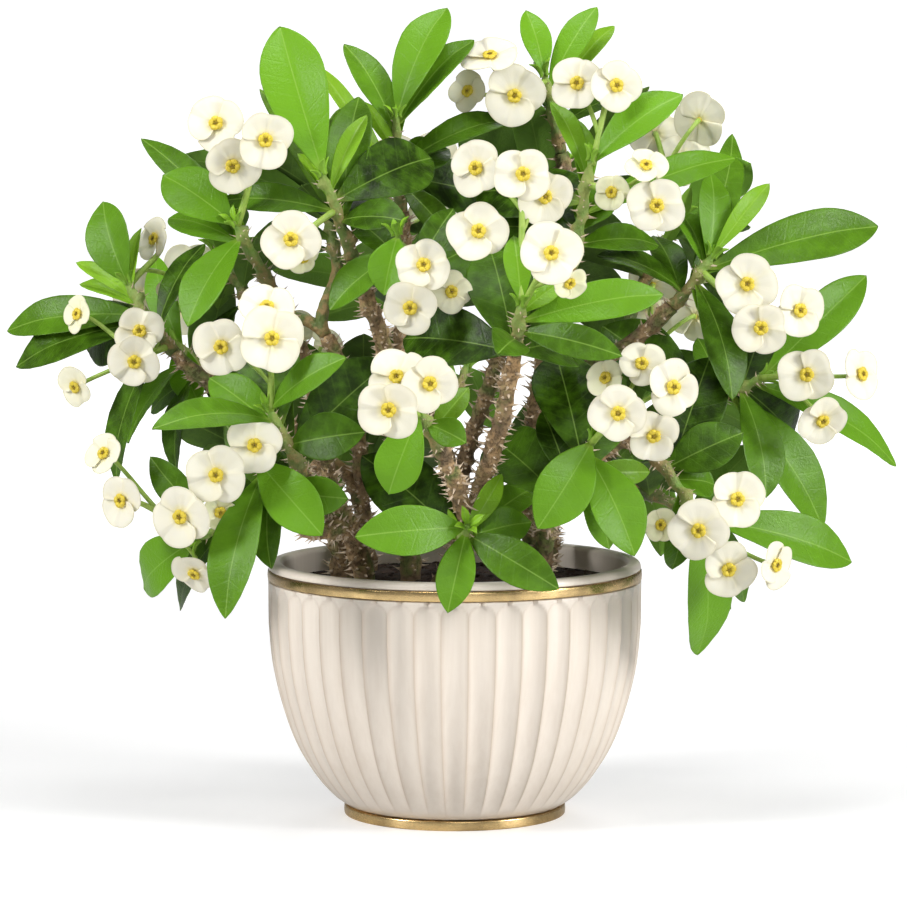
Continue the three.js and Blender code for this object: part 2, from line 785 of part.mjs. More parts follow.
// Where a shoot with several arms leaves its woody branch: below their middle, towards the heart.
function limbStart(curves, share = STEM.limb) {
  const middle = new THREE.Vector3();
  for (const curve of curves) middle.addScaledVector(curve.getPoint(0), 1 / curves.length);
  return middle.lerp(HEART, share);
}

const shoots = new Map();

// The green end of a branch: one stem along its path, or a fork of several arms.
function makeShootStem(entry) {
  const plans = (entry.arms ?? [entry]).map((arm) => planOf(arm, SHOOTS));
  const arms = plans.map((plan) => ({ plan, curve: pathCurve(plan) }));
  const pieces = arms.map(({ curve }) => tube(stations(curve, STEM.shoot, STEM.tip, 2), STEM.sides - 1));
  let start = arms[0].curve.getPoint(0);
  let grow = arms[0].curve.getTangent(0);
  if (arms.length > 1) {
    start = limbStart(arms.map(({ curve }) => curve), entry.limb);
    grow = direction(HEART, start);
    arms.forEach(({ curve }, number) => {
      const way = curve.getTangent(0);
      const inside = along(curve.getPoint(0), way, STEM.tip);
      const limb = bend(along(start, grow, number), grow, inside, way, STEM.bow);
      pieces.push(tube(stations(limb, STEM.end, STEM.shoot - STEM.thinner, 2), STEM.sides));
    });
  }
  shoots.set(entry.name, { arms, pieces, start, grow });
  for (const piece of pieces) stand(entry.name, piece);
}

const LIGHT = new THREE.Vector3(0, -0.9, 0.35); // what the leaves turn their faces to
const OUTWARD = -0.45; // a shoot counts as growing at least this much out of the elevation

// Where a leaf lies: its foot inside the shoot, its tip, and the way its upper face looks.
function leafSetting(plan, curve, leaf, number) {
  const share = LEAF.highest - (LEAF.highest - LEAF.lowest) * number / plan.leaves.length;
  const foot = curve.getPoint(share);
  const grow = turned(curve.getTangent(share), -plan.turn);
  const level = turned(foot, -plan.turn);
  const flat = place([...leaf.tip, level.y]).sub(level);
  const reach = flat.length();
  const facing = Math.min(grow.y, OUTWARD);
  const wanted = (LEAF.lean * reach - flat.dot(grow)) / facing;
  const deepest = LEAF.deepest * reach;
  const depth = THREE.MathUtils.clamp(wanted, -deepest, deepest) + (leaf.deep ?? 0);
  const tip = turned(place([...leaf.tip, level.y + depth]), plan.turn);
  const look = direction(HEART, foot).add(turned(LIGHT, plan.turn));
  const axis = direction(foot, tip);
  const face = square(look, axis).applyAxisAngle(axis, (draw(number, 1) - 0.5) * LEAF.twist);
  const side = turned(face.clone().cross(axis), -plan.turn);
  const shown = Math.max(LEAF.narrowest, Math.hypot(side.x, side.z));
  const half = leaf.wide * GRID.step / 2 / shown;
  const simple = half < LEAF.young || plan.turn !== 0;
  return { foot, tip, face, half, simple };
}

// Outline of a leaf: how far along it is, and its half-width there as a share of the full half-width.
const LEAF_OUTLINE = [[0.28, 0.62], [0.58, 1], [0.84, 0.7]];
const SIMPLE_OUTLINE = [[0.36, 0.82], [0.72, 0.88]]; // of a young leaf, or one on the far side

// A blade, flat above and keeled along its rib below, arched from a point inside its stem to its tip.
function leafSolid({ foot, tip, face, half, simple }, extra = 0, whole = true) {
  const axis = direction(foot, tip);
  const side = face.clone().cross(axis);
  const reach = foot.distanceTo(tip);
  const rings = (simple ? SIMPLE_OUTLINE : LEAF_OUTLINE).map(([share, wide]) => {
    const lift = LEAF.arch * reach * 4 * share * (1 - share);
    const middle = along(along(foot, axis, reach * share), face, lift);
    const upper = along(middle, face, LEAF.thick * LEAF.flat + extra);
    const keel = along(middle, face, -LEAF.thick * (1 - LEAF.flat) - extra);
    const edge = half * wide + extra;
    return [along(upper, side, edge), along(upper, side, -edge), keel];
  });
  const root = whole ? [[along(foot, axis, -LEAF.sunk)]] : [];
  return loft([...root, ...rings, [along(tip, axis, extra)]]);
}

// The swings that a leaf tries, in turn, until it is clear: up or down, and to the side, in degrees.
const SWINGS = [
  [0, 0], [6, 0], [-6, 0], [12, 0], [-12, 0], [0, 8], [0, -8], [8, 8], [8, -8], [-8, 8], [-8, -8],
  [18, 0], [-18, 0], [24, 0], [-24, 0], [16, 10], [16, -10], [-16, 10], [-16, -10], [32, 0], [-32, 0],
  [24, 14], [24, -14], [-24, 14], [-24, -14], [0, 16], [0, -16], [40, 0], [-40, 0], [32, 18], [32, -18],
  [-32, 18], [-32, -18], [8, 24], [8, -24], [-8, 24], [-8, -24],
];

function swung(setting, [pitch, sway]) {
  const axis = direction(setting.foot, setting.tip);
  const side = setting.face.clone().cross(axis);
  const turn = (vector) => vector.clone()
    .applyAxisAngle(side, THREE.MathUtils.degToRad(pitch))
    .applyAxisAngle(setting.face, THREE.MathUtils.degToRad(sway));
  const reach = setting.tip.clone().sub(setting.foot);
  return { ...setting, tip: setting.foot.clone().add(turn(reach)), face: turn(setting.face) };
}

function growLeaves(entry) {
  const { arms, pieces } = shoots.get(entry.name);
  const blades = [];
  for (const { plan, curve } of arms) {
    plan.leaves.forEach((leaf, number) => {
      if (plan.skip?.includes(number)) return;
      const setting = leafSetting(plan, curve, leaf, number);
      const free = SWINGS.map((swing) => swung(setting, swing))
        .filter((candidate) => isClear(entry.name, leafSolid(candidate, CLEARANCE)));
      const chosen = free.find((candidate) => isApart(leafSolid(candidate, 0, false), blades)) ?? free[0];
      if (!chosen) throw new Error(`${entry.name}: leaf ${number} has no clear place`);
      blades.push(leafSolid(chosen, 0, false));
      addLeaf(entry.name, pieces, chosen);
    });
  }
}

// The middles of all leaves and flowers, which tell how much room is left.
const middles = [];

function middleOf({ foot, tip }) {
  return foot.clone().lerp(tip, INNER.middle);
}

function addLeaf(name, pieces, setting) {
  const solid = leafSolid(setting);
  pieces.push(solid);
  stand(name, solid);
  middles.push(middleOf(setting));
}

// Ways that point evenly all round.
function evenWays(count) {
  const step = Math.PI * (3 - Math.sqrt(5));
  return Array.from({ length: count }, (_, i) => {
    const height = 1 - (2 * i + 1) / count;
    const across = Math.sqrt(1 - height * height);
    return new THREE.Vector3(across * Math.cos(i * step), across * Math.sin(i * step), height);
  });
}

function isInBody(point) {
  const [x, y, z] = point.toArray().map((value, i) => (value - BODY.centre[i]) / BODY.radii[i]);
  return point.z > BODY.floor && Math.hypot(x, y, z) < 1;
}

// The inner leaves that an arm of a shoot could bear: they end inside the bush, behind their own foot.
function innerSettings({ plan, curve }) {
  const light = turned(LIGHT, plan.turn).normalize();
  const settings = [];
  for (const share of INNER.feet) {
    const foot = curve.getPoint(share);
    const grow = curve.getTangent(share);
    for (const way of evenWays(INNER.ways)) {
      const climb = way.dot(grow);
      if (climb > INNER.widest || climb < INNER.narrowest) continue;
      if (Math.abs(way.dot(light)) > INNER.edgeOn) continue;
      for (const reach of INNER.reaches) {
        const tip = along(foot, way, reach);
        const setting = { foot, tip, face: square(light, way), half: INNER.half, simple: true };
        const depth = turned(middleOf(setting), -plan.turn).y;
        const behind = depth - turned(foot, -plan.turn).y;
        if (isInBody(tip) && behind > INNER.inward && depth > INNER.front) settings.push(setting);
      }
    }
  }
  return settings;
}

// How far apart two middles are, where a gap in depth counts less.
function gapBetween(one, other) {
  return Math.hypot(one.x - other.x, (one.y - other.y) * INNER.depthShare, one.z - other.z);
}

// Inner leaves grow where there is most room, until there are enough of them.
function growInnerLeaves() {
  const free = [];
  for (const [name, { arms, pieces }] of shoots) {
    for (const arm of arms) {
      free.push(...innerSettings(arm).map((setting) => ({ name, pieces, setting })));
    }
  }
  for (const choice of free) {
    choice.room = Math.min(...middles.map((other) => gapBetween(middleOf(choice.setting), other)));
  }
  free.sort((a, b) => b.room - a.room);
  for (let grown = 0; grown < INNER.count && free.length;) {
    const { name, pieces, setting } = free.shift();
    const blade = leafSolid(setting, CLEARANCE, false);
    if (!isClear(name, leafSolid(setting, CLEARANCE)) || !isApart(blade, pieces)) continue;
    addLeaf(name, pieces, setting);
    grown += 1;
    for (const choice of free) {
      choice.room = Math.min(choice.room, gapBetween(middleOf(choice.setting), middleOf(setting)));
    }
    free.sort((a, b) => b.room - a.room);
  }
}

// ---------------------------------------------------------------- woody stems

const woody = new Map();

function makeWood(stem) {
  const [x, y] = stem.root;
  const collar = new THREE.Vector3(x, y, SOIL.level + STEM.collar);
  const fork = place(stem.fork);
  const rise = direction(collar, fork).add(UP).normalize();
  const trunk = bend(collar, UP, fork, rise, STEM.bow);
  const foot = { at: new THREE.Vector3(x, y, SOIL.foot), way: UP, radius: STEM.trunk };
  const pieces = [tube([foot, ...stations(trunk, STEM.trunk, STEM.fork, 3)], STEM.sides)];
  const runs = [trunk];
  stem.carries.forEach((name, number) => {
    const { start, grow } = shoots.get(name);
    const end = along(start, grow, -STEM.joint);
    const run = bend(along(fork, rise, -STEM.sunk - number), rise, end, grow, STEM.bow);
    const steps = Math.max(3, Math.round(run.getLength() / STEM.step));
    runs.push(run);
    pieces.push(tube(stations(run, STEM.branch - STEM.thinner * number, STEM.end, steps), STEM.sides));
  });
  for (const piece of pieces) stand(stem.name, piece);
  woody.set(stem.name, { pieces, runs });
}

// Thorns stand on the stem's flats, two flats further round each time.
function thornAt(run, t, number) {
  const centre = run.getPoint(t);
  const grow = run.getTangent(t);
  const side = square(reference(direction(run.getPoint(0), run.getPoint(1))), grow);
  const out = side.applyAxisAngle(grow, ((number * 2 + 0.5) / STEM.sides) * 2 * Math.PI);
  const radius = STEM.fork + (STEM.end - STEM.fork) * t;
  const base = along(centre, out, radius - THORN.sunk);
  const tip = along(along(centre, out, radius + THORN.length), grow, THORN.tilt);
  return loft([ring(base, out, grow, THORN.root, 3), [tip]]);
}

function growThorns(stem) {
  const { pieces, runs } = woody.get(stem.name);
  const needles = [];
  runs.forEach((run, which) => {
    const length = run.getLength();
    for (let reach = THORN.margin, k = 0; reach < length - THORN.margin; reach += THORN.every, k++) {
      const needle = thornAt(run, reach / length, k + which);
      if (isClear(stem.name, needle)) needles.push(needle);
    }
  });
  for (const needle of needles) stand(stem.name, needle);
  pieces.push(...needles);
}

// ---------------------------------------------------------------- blooms

// Rim of a flower's two kidney-shaped bracts, which meet at a notch on either side: degrees round from
// the first bract's own direction, and a share of the flower's radius.
const BRACT_RIM = [[-64, 1], [-24, 0.97], [24, 0.97], [64, 1], [90, 0.4]];

function bractRim({ centre, face, way, radius }, extra) {
  const side = face.clone().cross(way);
  const rim = [];
  for (const half of [0, 180]) {
    for (const [degrees, share] of BRACT_RIM) {
      const angle = THREE.MathUtils.degToRad(degrees + half);
      const reach = radius * share + extra;
      const lift = share < 0.5 ? FLOWER.notchDish : FLOWER.dish;
      const across = along(along(centre, way, reach * Math.cos(angle)), side, reach * Math.sin(angle));
      rim.push(along(across, face, lift));
    }
  }
  return rim;
}

// The bracts alone, a little fuller all round, for trying whether a flower is clear.
function bractBlank(setting, extra = 0) {
  const below = along(setting.centre, setting.face, -FLOWER.thick - extra);
  const above = along(setting.centre, setting.face, FLOWER.knobHigh + extra);
  return loft([[below], bractRim(setting, extra), [above]]);
}

// A flower in one piece: its stalk along a bend, the bracts, and the knob of glands. A side flower's
// stalk starts as a point inside the main stalk.
function flowerSolid(stalk, setting, startRadius) {
  const { centre, face, way } = setting;
  const start = way.clone().applyAxisAngle(face, THREE.MathUtils.degToRad(BRACT_RIM[0][0]));
  const rings = [0, STALK.elbow, 1].map((t) => {
    const radius = startRadius + (STALK.pedicel - startRadius) * t;
    return ring(stalk.getPoint(t), stalk.getTangent(t), start, Math.max(radius, STALK.pedicel), 3);
  });
  if (!startRadius) rings[0] = [stalk.getPoint(0)];
  const knob = ring(along(centre, face, FLOWER.knobLow), face, start, FLOWER.knob, 4);
  return loft([...rings, bractRim(setting, 0), knob, [along(centre, face, FLOWER.knobHigh)]]);
}

function flowerSetting(plan, flower, number) {
  const spot = [...flower.at, plan.depth + number * FLOWER.spacing];
  const centre = turned(place(spot), plan.turn);
  const [right, high] = flower.face;
  const front = -Math.sqrt(Math.max(0.05, 1 - right * right - high * high));
  const face = turned(new THREE.Vector3(right, front, high), plan.turn).normalize();
  const spin = draw(number, plan.name.length) * Math.PI;
  const way = square(UP, face).applyAxisAngle(face, spin);
  return { centre, face, way, radius: flower.wide * GRID.step / 2 };
}

// How far back (+) or forward (-) along its face a flower tries to stand until it is clear.
const SHIFTS = [0, -4, 4, -8, 8, -12, 12, -16, 16];

// A bloom cluster's flowers on their stalks, the first of them on the main stalk.
function growBloom(entry) {
  const plan = planOf(entry, BLOOMS);
  const curves = shoots.get(plan.shoot).arms.map((arm) => arm.curve);
  const pieces = [];
  const settings = [];
  const blanks = [];
  plan.flowers.forEach((flower, number) => {
    const ideal = flowerSetting(plan, flower, number);
    const free = SHIFTS.map((shift) => ({ ...ideal, centre: along(ideal.centre, ideal.face, -shift) }))
      .filter((candidate) => isClear(plan.name, bractBlank(candidate, CLEARANCE)));
    const apart = free.find((candidate) => isApart(bractBlank(candidate), blanks));
    const chosen = apart ?? free[0];
    if (!chosen) throw new Error(`${plan.name}: flower ${number} has no clear place`);
    settings.push(chosen);
    middles.push(chosen.centre);
    blanks.push(bractBlank(chosen));
  });
  const [main, ...others] = settings;
  const root = nearestOnCurves(curves, main.centre);
  const grow = root.curve.getTangent(root.t);
  const towards = direction(root.point, main.centre);
  const radius = STEM.shoot + (STEM.tip - STEM.shoot) * root.t;
  const away = radius + TOUCH + STALK.peduncle * Math.abs(towards.dot(grow));
  const start = along(root.point, square(towards, grow), away);
  const stalk = bend(start, towards, backOf(main), main.face, STEM.bow);
  pieces.push(flowerSolid(stalk, main, STALK.peduncle));
  others.forEach((setting, number) => {
    const share = STALK.firstFork + STALK.nextFork * number;
    const fork = onStalk(stalk, share);
    const way = along(direction(fork, backOf(setting)), stalk.getTangent(share), STALK.follow).normalize();
    pieces.push(flowerSolid(bend(fork, way, backOf(setting), setting.face, STEM.bow), setting, 0));
  });
  for (const piece of pieces) stand(plan.name, piece);
  return pieces;
}

// A point in the middle of a main stalk, which runs straight between its rings.
function onStalk(stalk, share) {
  const [start, elbow, end] = [0, STALK.elbow, 1].map((t) => stalk.getPoint(t));
  return share < STALK.elbow
    ? start.lerp(elbow, share / STALK.elbow)
    : elbow.lerp(end, (share - STALK.elbow) / (1 - STALK.elbow));
}

function backOf({ centre, face }) {
  return along(centre, face, -FLOWER.thick);
}

// The spot on any of the curves that lies nearest to a target, tried at even stations.
function nearestOnCurves(curves, target, tries = 20) {
  let best = { distance: Infinity };
  for (const curve of curves) {
    for (let step = 2; step < tries; step++) {
      const t = step / tries;
      const point = curve.getPoint(t);
      const distance = point.distanceTo(target);
      if (distance < best.distance) best = { distance, t, point, curve };
    }
  }
  return best;
}

// ---------------------------------------------------------------- the whole plant

function meshOf(name, solid, colour) {
  const { vertProperties, triVerts } = mainBody(solid).getMesh();
  const geometry = new THREE.BufferGeometry();
  geometry.setAttribute("position", new THREE.BufferAttribute(new Float32Array(vertProperties), 3));
  geometry.setIndex(new THREE.BufferAttribute(new Uint32Array(triVerts), 1));
  geometry.computeVertexNormals();
  const mesh = new THREE.Mesh(geometry, new THREE.MeshStandardMaterial(colour));
  mesh.name = name;
  return mesh;
}

const plant = new THREE.Group();

const pot = makePot();
const soil = makeSoil();
stand("pot", pot);
stand("soil", soil);
plant.add(meshOf("pot", pot, COLOURS.glaze));
plant.add(meshOf("rim_band", makeBand(), COLOURS.gold));
plant.add(meshOf("foot_ring", makeFootRing(), COLOURS.gold));
plant.add(meshOf("soil", soil, COLOURS.soil));

SHOOTS.forEach(makeShootStem);
MAIN_STEMS.forEach(makeWood);
const bloomPieces = BLOOMS.map(growBloom);
SHOOTS.forEach(growLeaves);
growInnerLeaves();
MAIN_STEMS.forEach(growThorns);

for (const [name, { pieces }] of woody) plant.add(meshOf(name, joined(pieces), COLOURS.wood));
for (const [name, { pieces }] of shoots) plant.add(meshOf(`shoot_${name}`, joined(pieces), COLOURS.leaf));
BLOOMS.forEach(({ name }, i) => plant.add(meshOf(name, joined(bloomPieces[i]), COLOURS.bloom)));

export default plant;
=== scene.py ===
"""A crown of thorns plant in a fluted ceramic pot with a gold rim band and foot ring.

Everything is set out in millimetres on the planting plan below and made in metres.
"""

import math
import random

import bmesh
import bpy
import numpy as np
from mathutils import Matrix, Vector, noise
from mathutils.bvhtree import BVHTree


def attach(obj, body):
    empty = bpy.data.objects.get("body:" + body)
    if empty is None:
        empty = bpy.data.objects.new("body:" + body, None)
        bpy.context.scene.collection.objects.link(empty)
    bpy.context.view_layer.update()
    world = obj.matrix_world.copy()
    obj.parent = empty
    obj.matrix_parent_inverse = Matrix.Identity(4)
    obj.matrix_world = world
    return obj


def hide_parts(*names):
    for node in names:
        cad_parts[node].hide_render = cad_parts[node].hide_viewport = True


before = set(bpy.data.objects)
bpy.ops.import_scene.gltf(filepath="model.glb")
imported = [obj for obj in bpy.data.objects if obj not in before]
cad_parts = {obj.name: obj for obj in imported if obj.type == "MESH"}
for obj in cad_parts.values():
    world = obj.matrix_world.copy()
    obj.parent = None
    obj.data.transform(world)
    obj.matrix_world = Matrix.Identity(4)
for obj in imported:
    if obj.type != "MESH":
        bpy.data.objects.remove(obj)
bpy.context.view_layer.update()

bl_info = {
    "name": "Potted Crown of Thorns",
    "version": (1, 0, 0),
    "blender": (4, 5, 0),
    "location": "3D View > Sidebar > Crown of Thorns",
    "description": "Builds a crown of thorns plant in a fluted pot on a plain stage",
    "category": "Object",
}

MM = 0.001
SEEDS = {"crumbs": 1904, "wood": 1904, "shoots": 2004, "blooms": 2104}

# ---------------------------------------------------------------- driving sizes, in millimetres

# The front elevation that the planting plan is drawn on, and the eye in front of it.
GRID = {"axis_column": 456, "floor_row": 815, "step": 0.4065, "eye_distance": 1790, "eye_height": 322}
HEART = np.array([0.0, 0.0, 105.0])  # the middle of the bush, which everything grows away from
UP = np.array([0.0, 0.0, 1.0])

# The pot: its heights and radii, its flutes, the recess that holds the rim band, and its floor inside.
POT = {
    "height": 104, "widest": 76.1, "mouth": 70, "base": 41.2, "foot_top": 4.25,
    # ridge is the half-width of the painted shade line along each flute's ridge, as a share of half a flute.
    "flutes": 44, "flute_top": 95, "flute_foot": 5, "flute_rise": 9, "flute_round": 2.1, "ridge": 0.1,
    "recess": 74.25, "recess_low": 96.3, "recess_high": 100.9, "floor": 9,
}
# Where the pot's points lie across a flute, from ridge to ridge: they crowd beside the ridges.
FLUTE_SPOTS = np.array([-1, -0.9, -0.74, -0.5, -0.25, 0, 0.25, 0.5, 0.74, 0.9])
# Points of the pot's section, each a radius and a height: the outside wall and the inside from the lip down.
WALL = [
    (44.2, 4.4), (50, 8.4), (57.7, 17.2), (65, 29.6), (70.6, 45.4), (74.5, 62.4), (76.1, 79), (76.2, 96.1),
]
HOLLOW = [(70, 92), (69.6, 74), (66, 48), (59.8, 29), (50, 17), (38, 9.6), (20, 9)]
BAND = {"low": 96.6, "high": 100.6, "inner": 74.6, "outer": 76.5}
FOOT_RING = {"low": 0, "high": 3.9, "inner": 41.9, "outer": 45.4}
# The soil's surface with its clods (height, size and seed), and the points of its section below that.
SOIL = {
    "level": 94.5, "mound": 2.6, "lump": 0.7, "foot": 80, "gap": 0.35, "smooth_edge": 4,
    "clods": ((0.5, 5.0, 0.0), (0.4, 2.2, 7.0)), "rings": 60, "sides": 150,
    "below": [(66, 60), (59, 30), (37, 9.6)], "bottom": 9.4,
}
SOIL_EDGE = POT["mouth"] - SOIL["gap"]
# A crumb's size, how far it is stretched each way, and how rough it is.
CRUMB = {
    "size": (0.5, 1.7), "stretch": ((0.7, 1.6), (0.7, 1.3), (0.45, 0.9)), "rough": 0.22, "from_edge": 3,
}

# The stems' radii from the foot to a shoot's tip, how they join and bow, and how old their bark is (0 to 1).
STEM = {
    "trunk": 4.1, "fork": 3.5, "branch": 3.2, "end": 2.7, "shoot": 2.4, "tip": 1.1, "thinner": 0.1,
    "collar": 4, "sunk": 2.5, "joint": 0.5, "limb": 0.2, "bow": 0.35, "path_bow": 0.67,
    "step": 1.4, "shoot_step": 1.5, "trunk_age": (0.0, 0.4), "branch_age": (0.35, 1.0), "limb_age": 0.1,
}
# The bark's roughness, each with its height, the size of its hills and its seed, and a thorn's wart.
BARK = {
    "sides": 16, "hills": ((0.28, 3.2, 3.0), (0.16, 1.3, 9.0)), "wart": 0.75, "wart_size": 1.5,
    "foot_cap": 0.1, "end_cap": 0.3,
}
# Where thorns stand, and their rings: how far out each is and how wide, as shares of the thorn's own.
THORN = {
    "every": 11, "margin": 5, "tilt": 1.1, "flats": 5, "small_every": 0.7, "soft_every": 0.8,
    "rings": np.array([0.0, 0.12, 0.4, 0.75]), "taper": np.array([1.5, 0.85, 0.5, 0.2]), "root": 0.3,
    "sides": 5, "width": 0.8, "soft_width": 0.6, "soft_tilt": 0.8, "proud": 0.2, "lean": (-0.3, 0.4),
    "small_span": (0.02, 0.99), "small": (0.45, 1.0), "soft_span": (0.02, 0.9), "soft": (0.45, 0.95),
}
# Where leaves stand on a shoot and how they turn to the light.
LEAF = {
    "lean": 0.22, "deepest": 0.4, "highest": 0.96, "lowest": 0.12, "twist": 0.5, "arch": 0.09,
    "light": np.array([0, -0.9, 0.35]), "outward": -0.45, "narrowest": 0.8,
}
# How a blade is made. The first line holds ranges that each leaf draws from; half-widths tell its age.
BLADE = {
    "widest": (0.56, 0.64), "fold": (0.12, 0.26), "wave": (0.2, 0.5), "phase": (0, 6), "curl": (0.0, 0.035),
    "grown": 6.5, "young": 3.0, "smallest": 2, "full": 9, "young_fold": 0.25, "waves": 9, "ripple": 0.10,
    "grid": (20, 6), "small_grid": (10, 3), "first_row": 0.06, "crowding": 1.3, "last_row": 0.994,
    "stalk": 0.75, "stalk_taper": 0.3, "vein_slope": 0.55, "vein_gap": 4.2, "vein_spread": 0.05,
    "sunk": 0.25, "fold_sunk": 0.1, "thick": 0.62, "thin": 0.34, "foot_thick": 0.5, "rib_thick": 0.5,
    # Below, the last two weigh a leaf's random brightness and its brightness from the shoot's tip down; the
    # latter is partly the darker green of older leaves and partly painted shade inside the bush.
    "rib_width": 0.8, "chance": 0.4, "fresh_and_lit": 0.6,
}
# The points along a leaf, and round a flower in degrees, that are compared with the solids.
LEAF_CHECKS = (0.36, 0.58, 0.72)
FLOWER_CHECKS = (-64, -24, 24, 64, 116, 156, 204, 244)
FAR_OFF = 5.0  # a point this far from a solid counts as no part of it, however far it is
# The leaves that fill the bush's inside: where they may stand, and the body that they end in.
INNER = {
    "feet": (0.05, 0.35, 0.65), "reaches": (54, 42), "half": 12, "ways": 48, "widest": 0.8,
    "narrowest": -0.6, "middle": 0.6, "inward": 8, "front": -75, "edge_on": 0.85,
    "fuller": 1.1,  # how much wider a leaf is than the solid that it refines
    "match": 7.5,  # sum of an outline's distances from the solids under which its leaf is there
}
BODY = {"centre": np.array([0, 0, 200]), "radii": np.array([158, 110, 112]), "floor": 110}
# The small leaves round the tip of each shoot: how many, how long and wide, and how far they lean out.
BUD = {"leaves": 4, "length": (5, 9), "wide": 0.21, "lean": (0.35, 0.9), "sunk": 0.8}
# The stalks of a cluster: their radii, and where on the main one the others fork off.
STALK = {
    "peduncle": 1.5, "pedicel": 1.0, "flower_end": 0.85, "flare": 0.35, "foot": 0.6, "spots": 20,
    "first_fork": 0.3, "next_fork": 0.14, "follow": 0.4, "sides": 8, "rings": 14,
}
# The flowers' depth and spacing, and the radii of a full, a grown and a young one.
FLOWER = {"thick": 1.2, "dish": 1.6, "spacing": 4, "full": 12, "grown": 10.5, "young": 7.5}
# How a bract is made. The pairs are ranges that each bract draws from, and angles are in degrees.
BRACT = {
    "first_lobe": (0.94, 1.0), "second_lobe": (0.88, 1.0), "upper_apart": (22, 40), "lower_apart": (42, 54),
    "tilt": (0.75, 1.05), "dish": (1.3, 2.1), "phase": (0, 6),
    "columns": 31, "rows": 9, "first_row": 0.04, "half_turn": 104, "lobe_round": 0.4, "lobe_half": 50,
    "scallop": 0.02, "scallops": 5, "wave": 0.22, "waves": 4, "rim_back": 0.5, "thick": 0.45, "thin": 0.2,
    "streaks": 11,
}
# A flower's middle, at full size: the cup's heights and radii, then the place and size of its parts.
CUP = {"root": -1.1, "heights": (-0.9, 0.2), "rim": 1.3, "top": 1.35, "radii": (0.9, 1.5, 2.1), "sides": 12}
GLAND = {"count": 5, "out": 1.9, "up": 1.4, "size": (1.7, 1.2, 0.7)}
STAR = {"out": 0.7, "up": 1.75, "size": (0.16, 0.32, 0.32), "middle_up": 1.6, "middle": (0.42, 0.42, 0.35)}

# The swings that a leaf may take, up or down and sideways in degrees, each in all its directions.
SWING_SIZES = [
    (0, 0), (6, 0), (12, 0), (0, 8), (8, 8), (18, 0), (24, 0), (16, 10), (32, 0), (24, 14), (0, 16),
    (40, 0), (32, 18), (8, 24),
]
SWINGS = [
    (up * pitch, right * sway)
    for pitch, sway in SWING_SIZES
    for up in ((1, -1) if pitch else (1,))
    for right in ((1, -1) if sway else (1,))
]
# The shifts that a flower may take, backwards or forwards in mm, the smallest first.
SHIFTS = sorted(range(-16, 17, 4), key=abs)

# ---------------------------------------------------------------- planting plan

# Each main stem: its root in the soil (x, y), its fork (column, row, depth) and the shoots it carries.
MAIN_STEMS = {
    "stem_left_low": ((-36, -30), (352, 528, -40), ("left_low", "left_mid", "left_edge")),
    "stem_left": ((-46, -2), (330, 480, 0), ("left", "left_dark", "left_high")),
    "stem_top": ((-18, -6), (402, 440, -20), ("top_left", "top", "centre_high")),
    "stem_front": ((-6, -48), (456, 566, -52), ("centre", "front", "rim")),
    "stem_right_low": ((34, -36), (548, 530, -48), ("right_mid", "right_low")),
    "stem_right": ((32, -4), (534, 440, -8), ("right", "right_edge", "top_right", "top_back")),
    "stem_back_right": ((38, 28), (550, 546, 38), ("back_right_low", "back_right")),
    "stem_back": ((2, 44), (458, 520, 54), ("back_middle", "back_top")),
    "stem_back_left": ((-36, 34), (366, 546, 40), ("back_left_low", "back_left")),
}

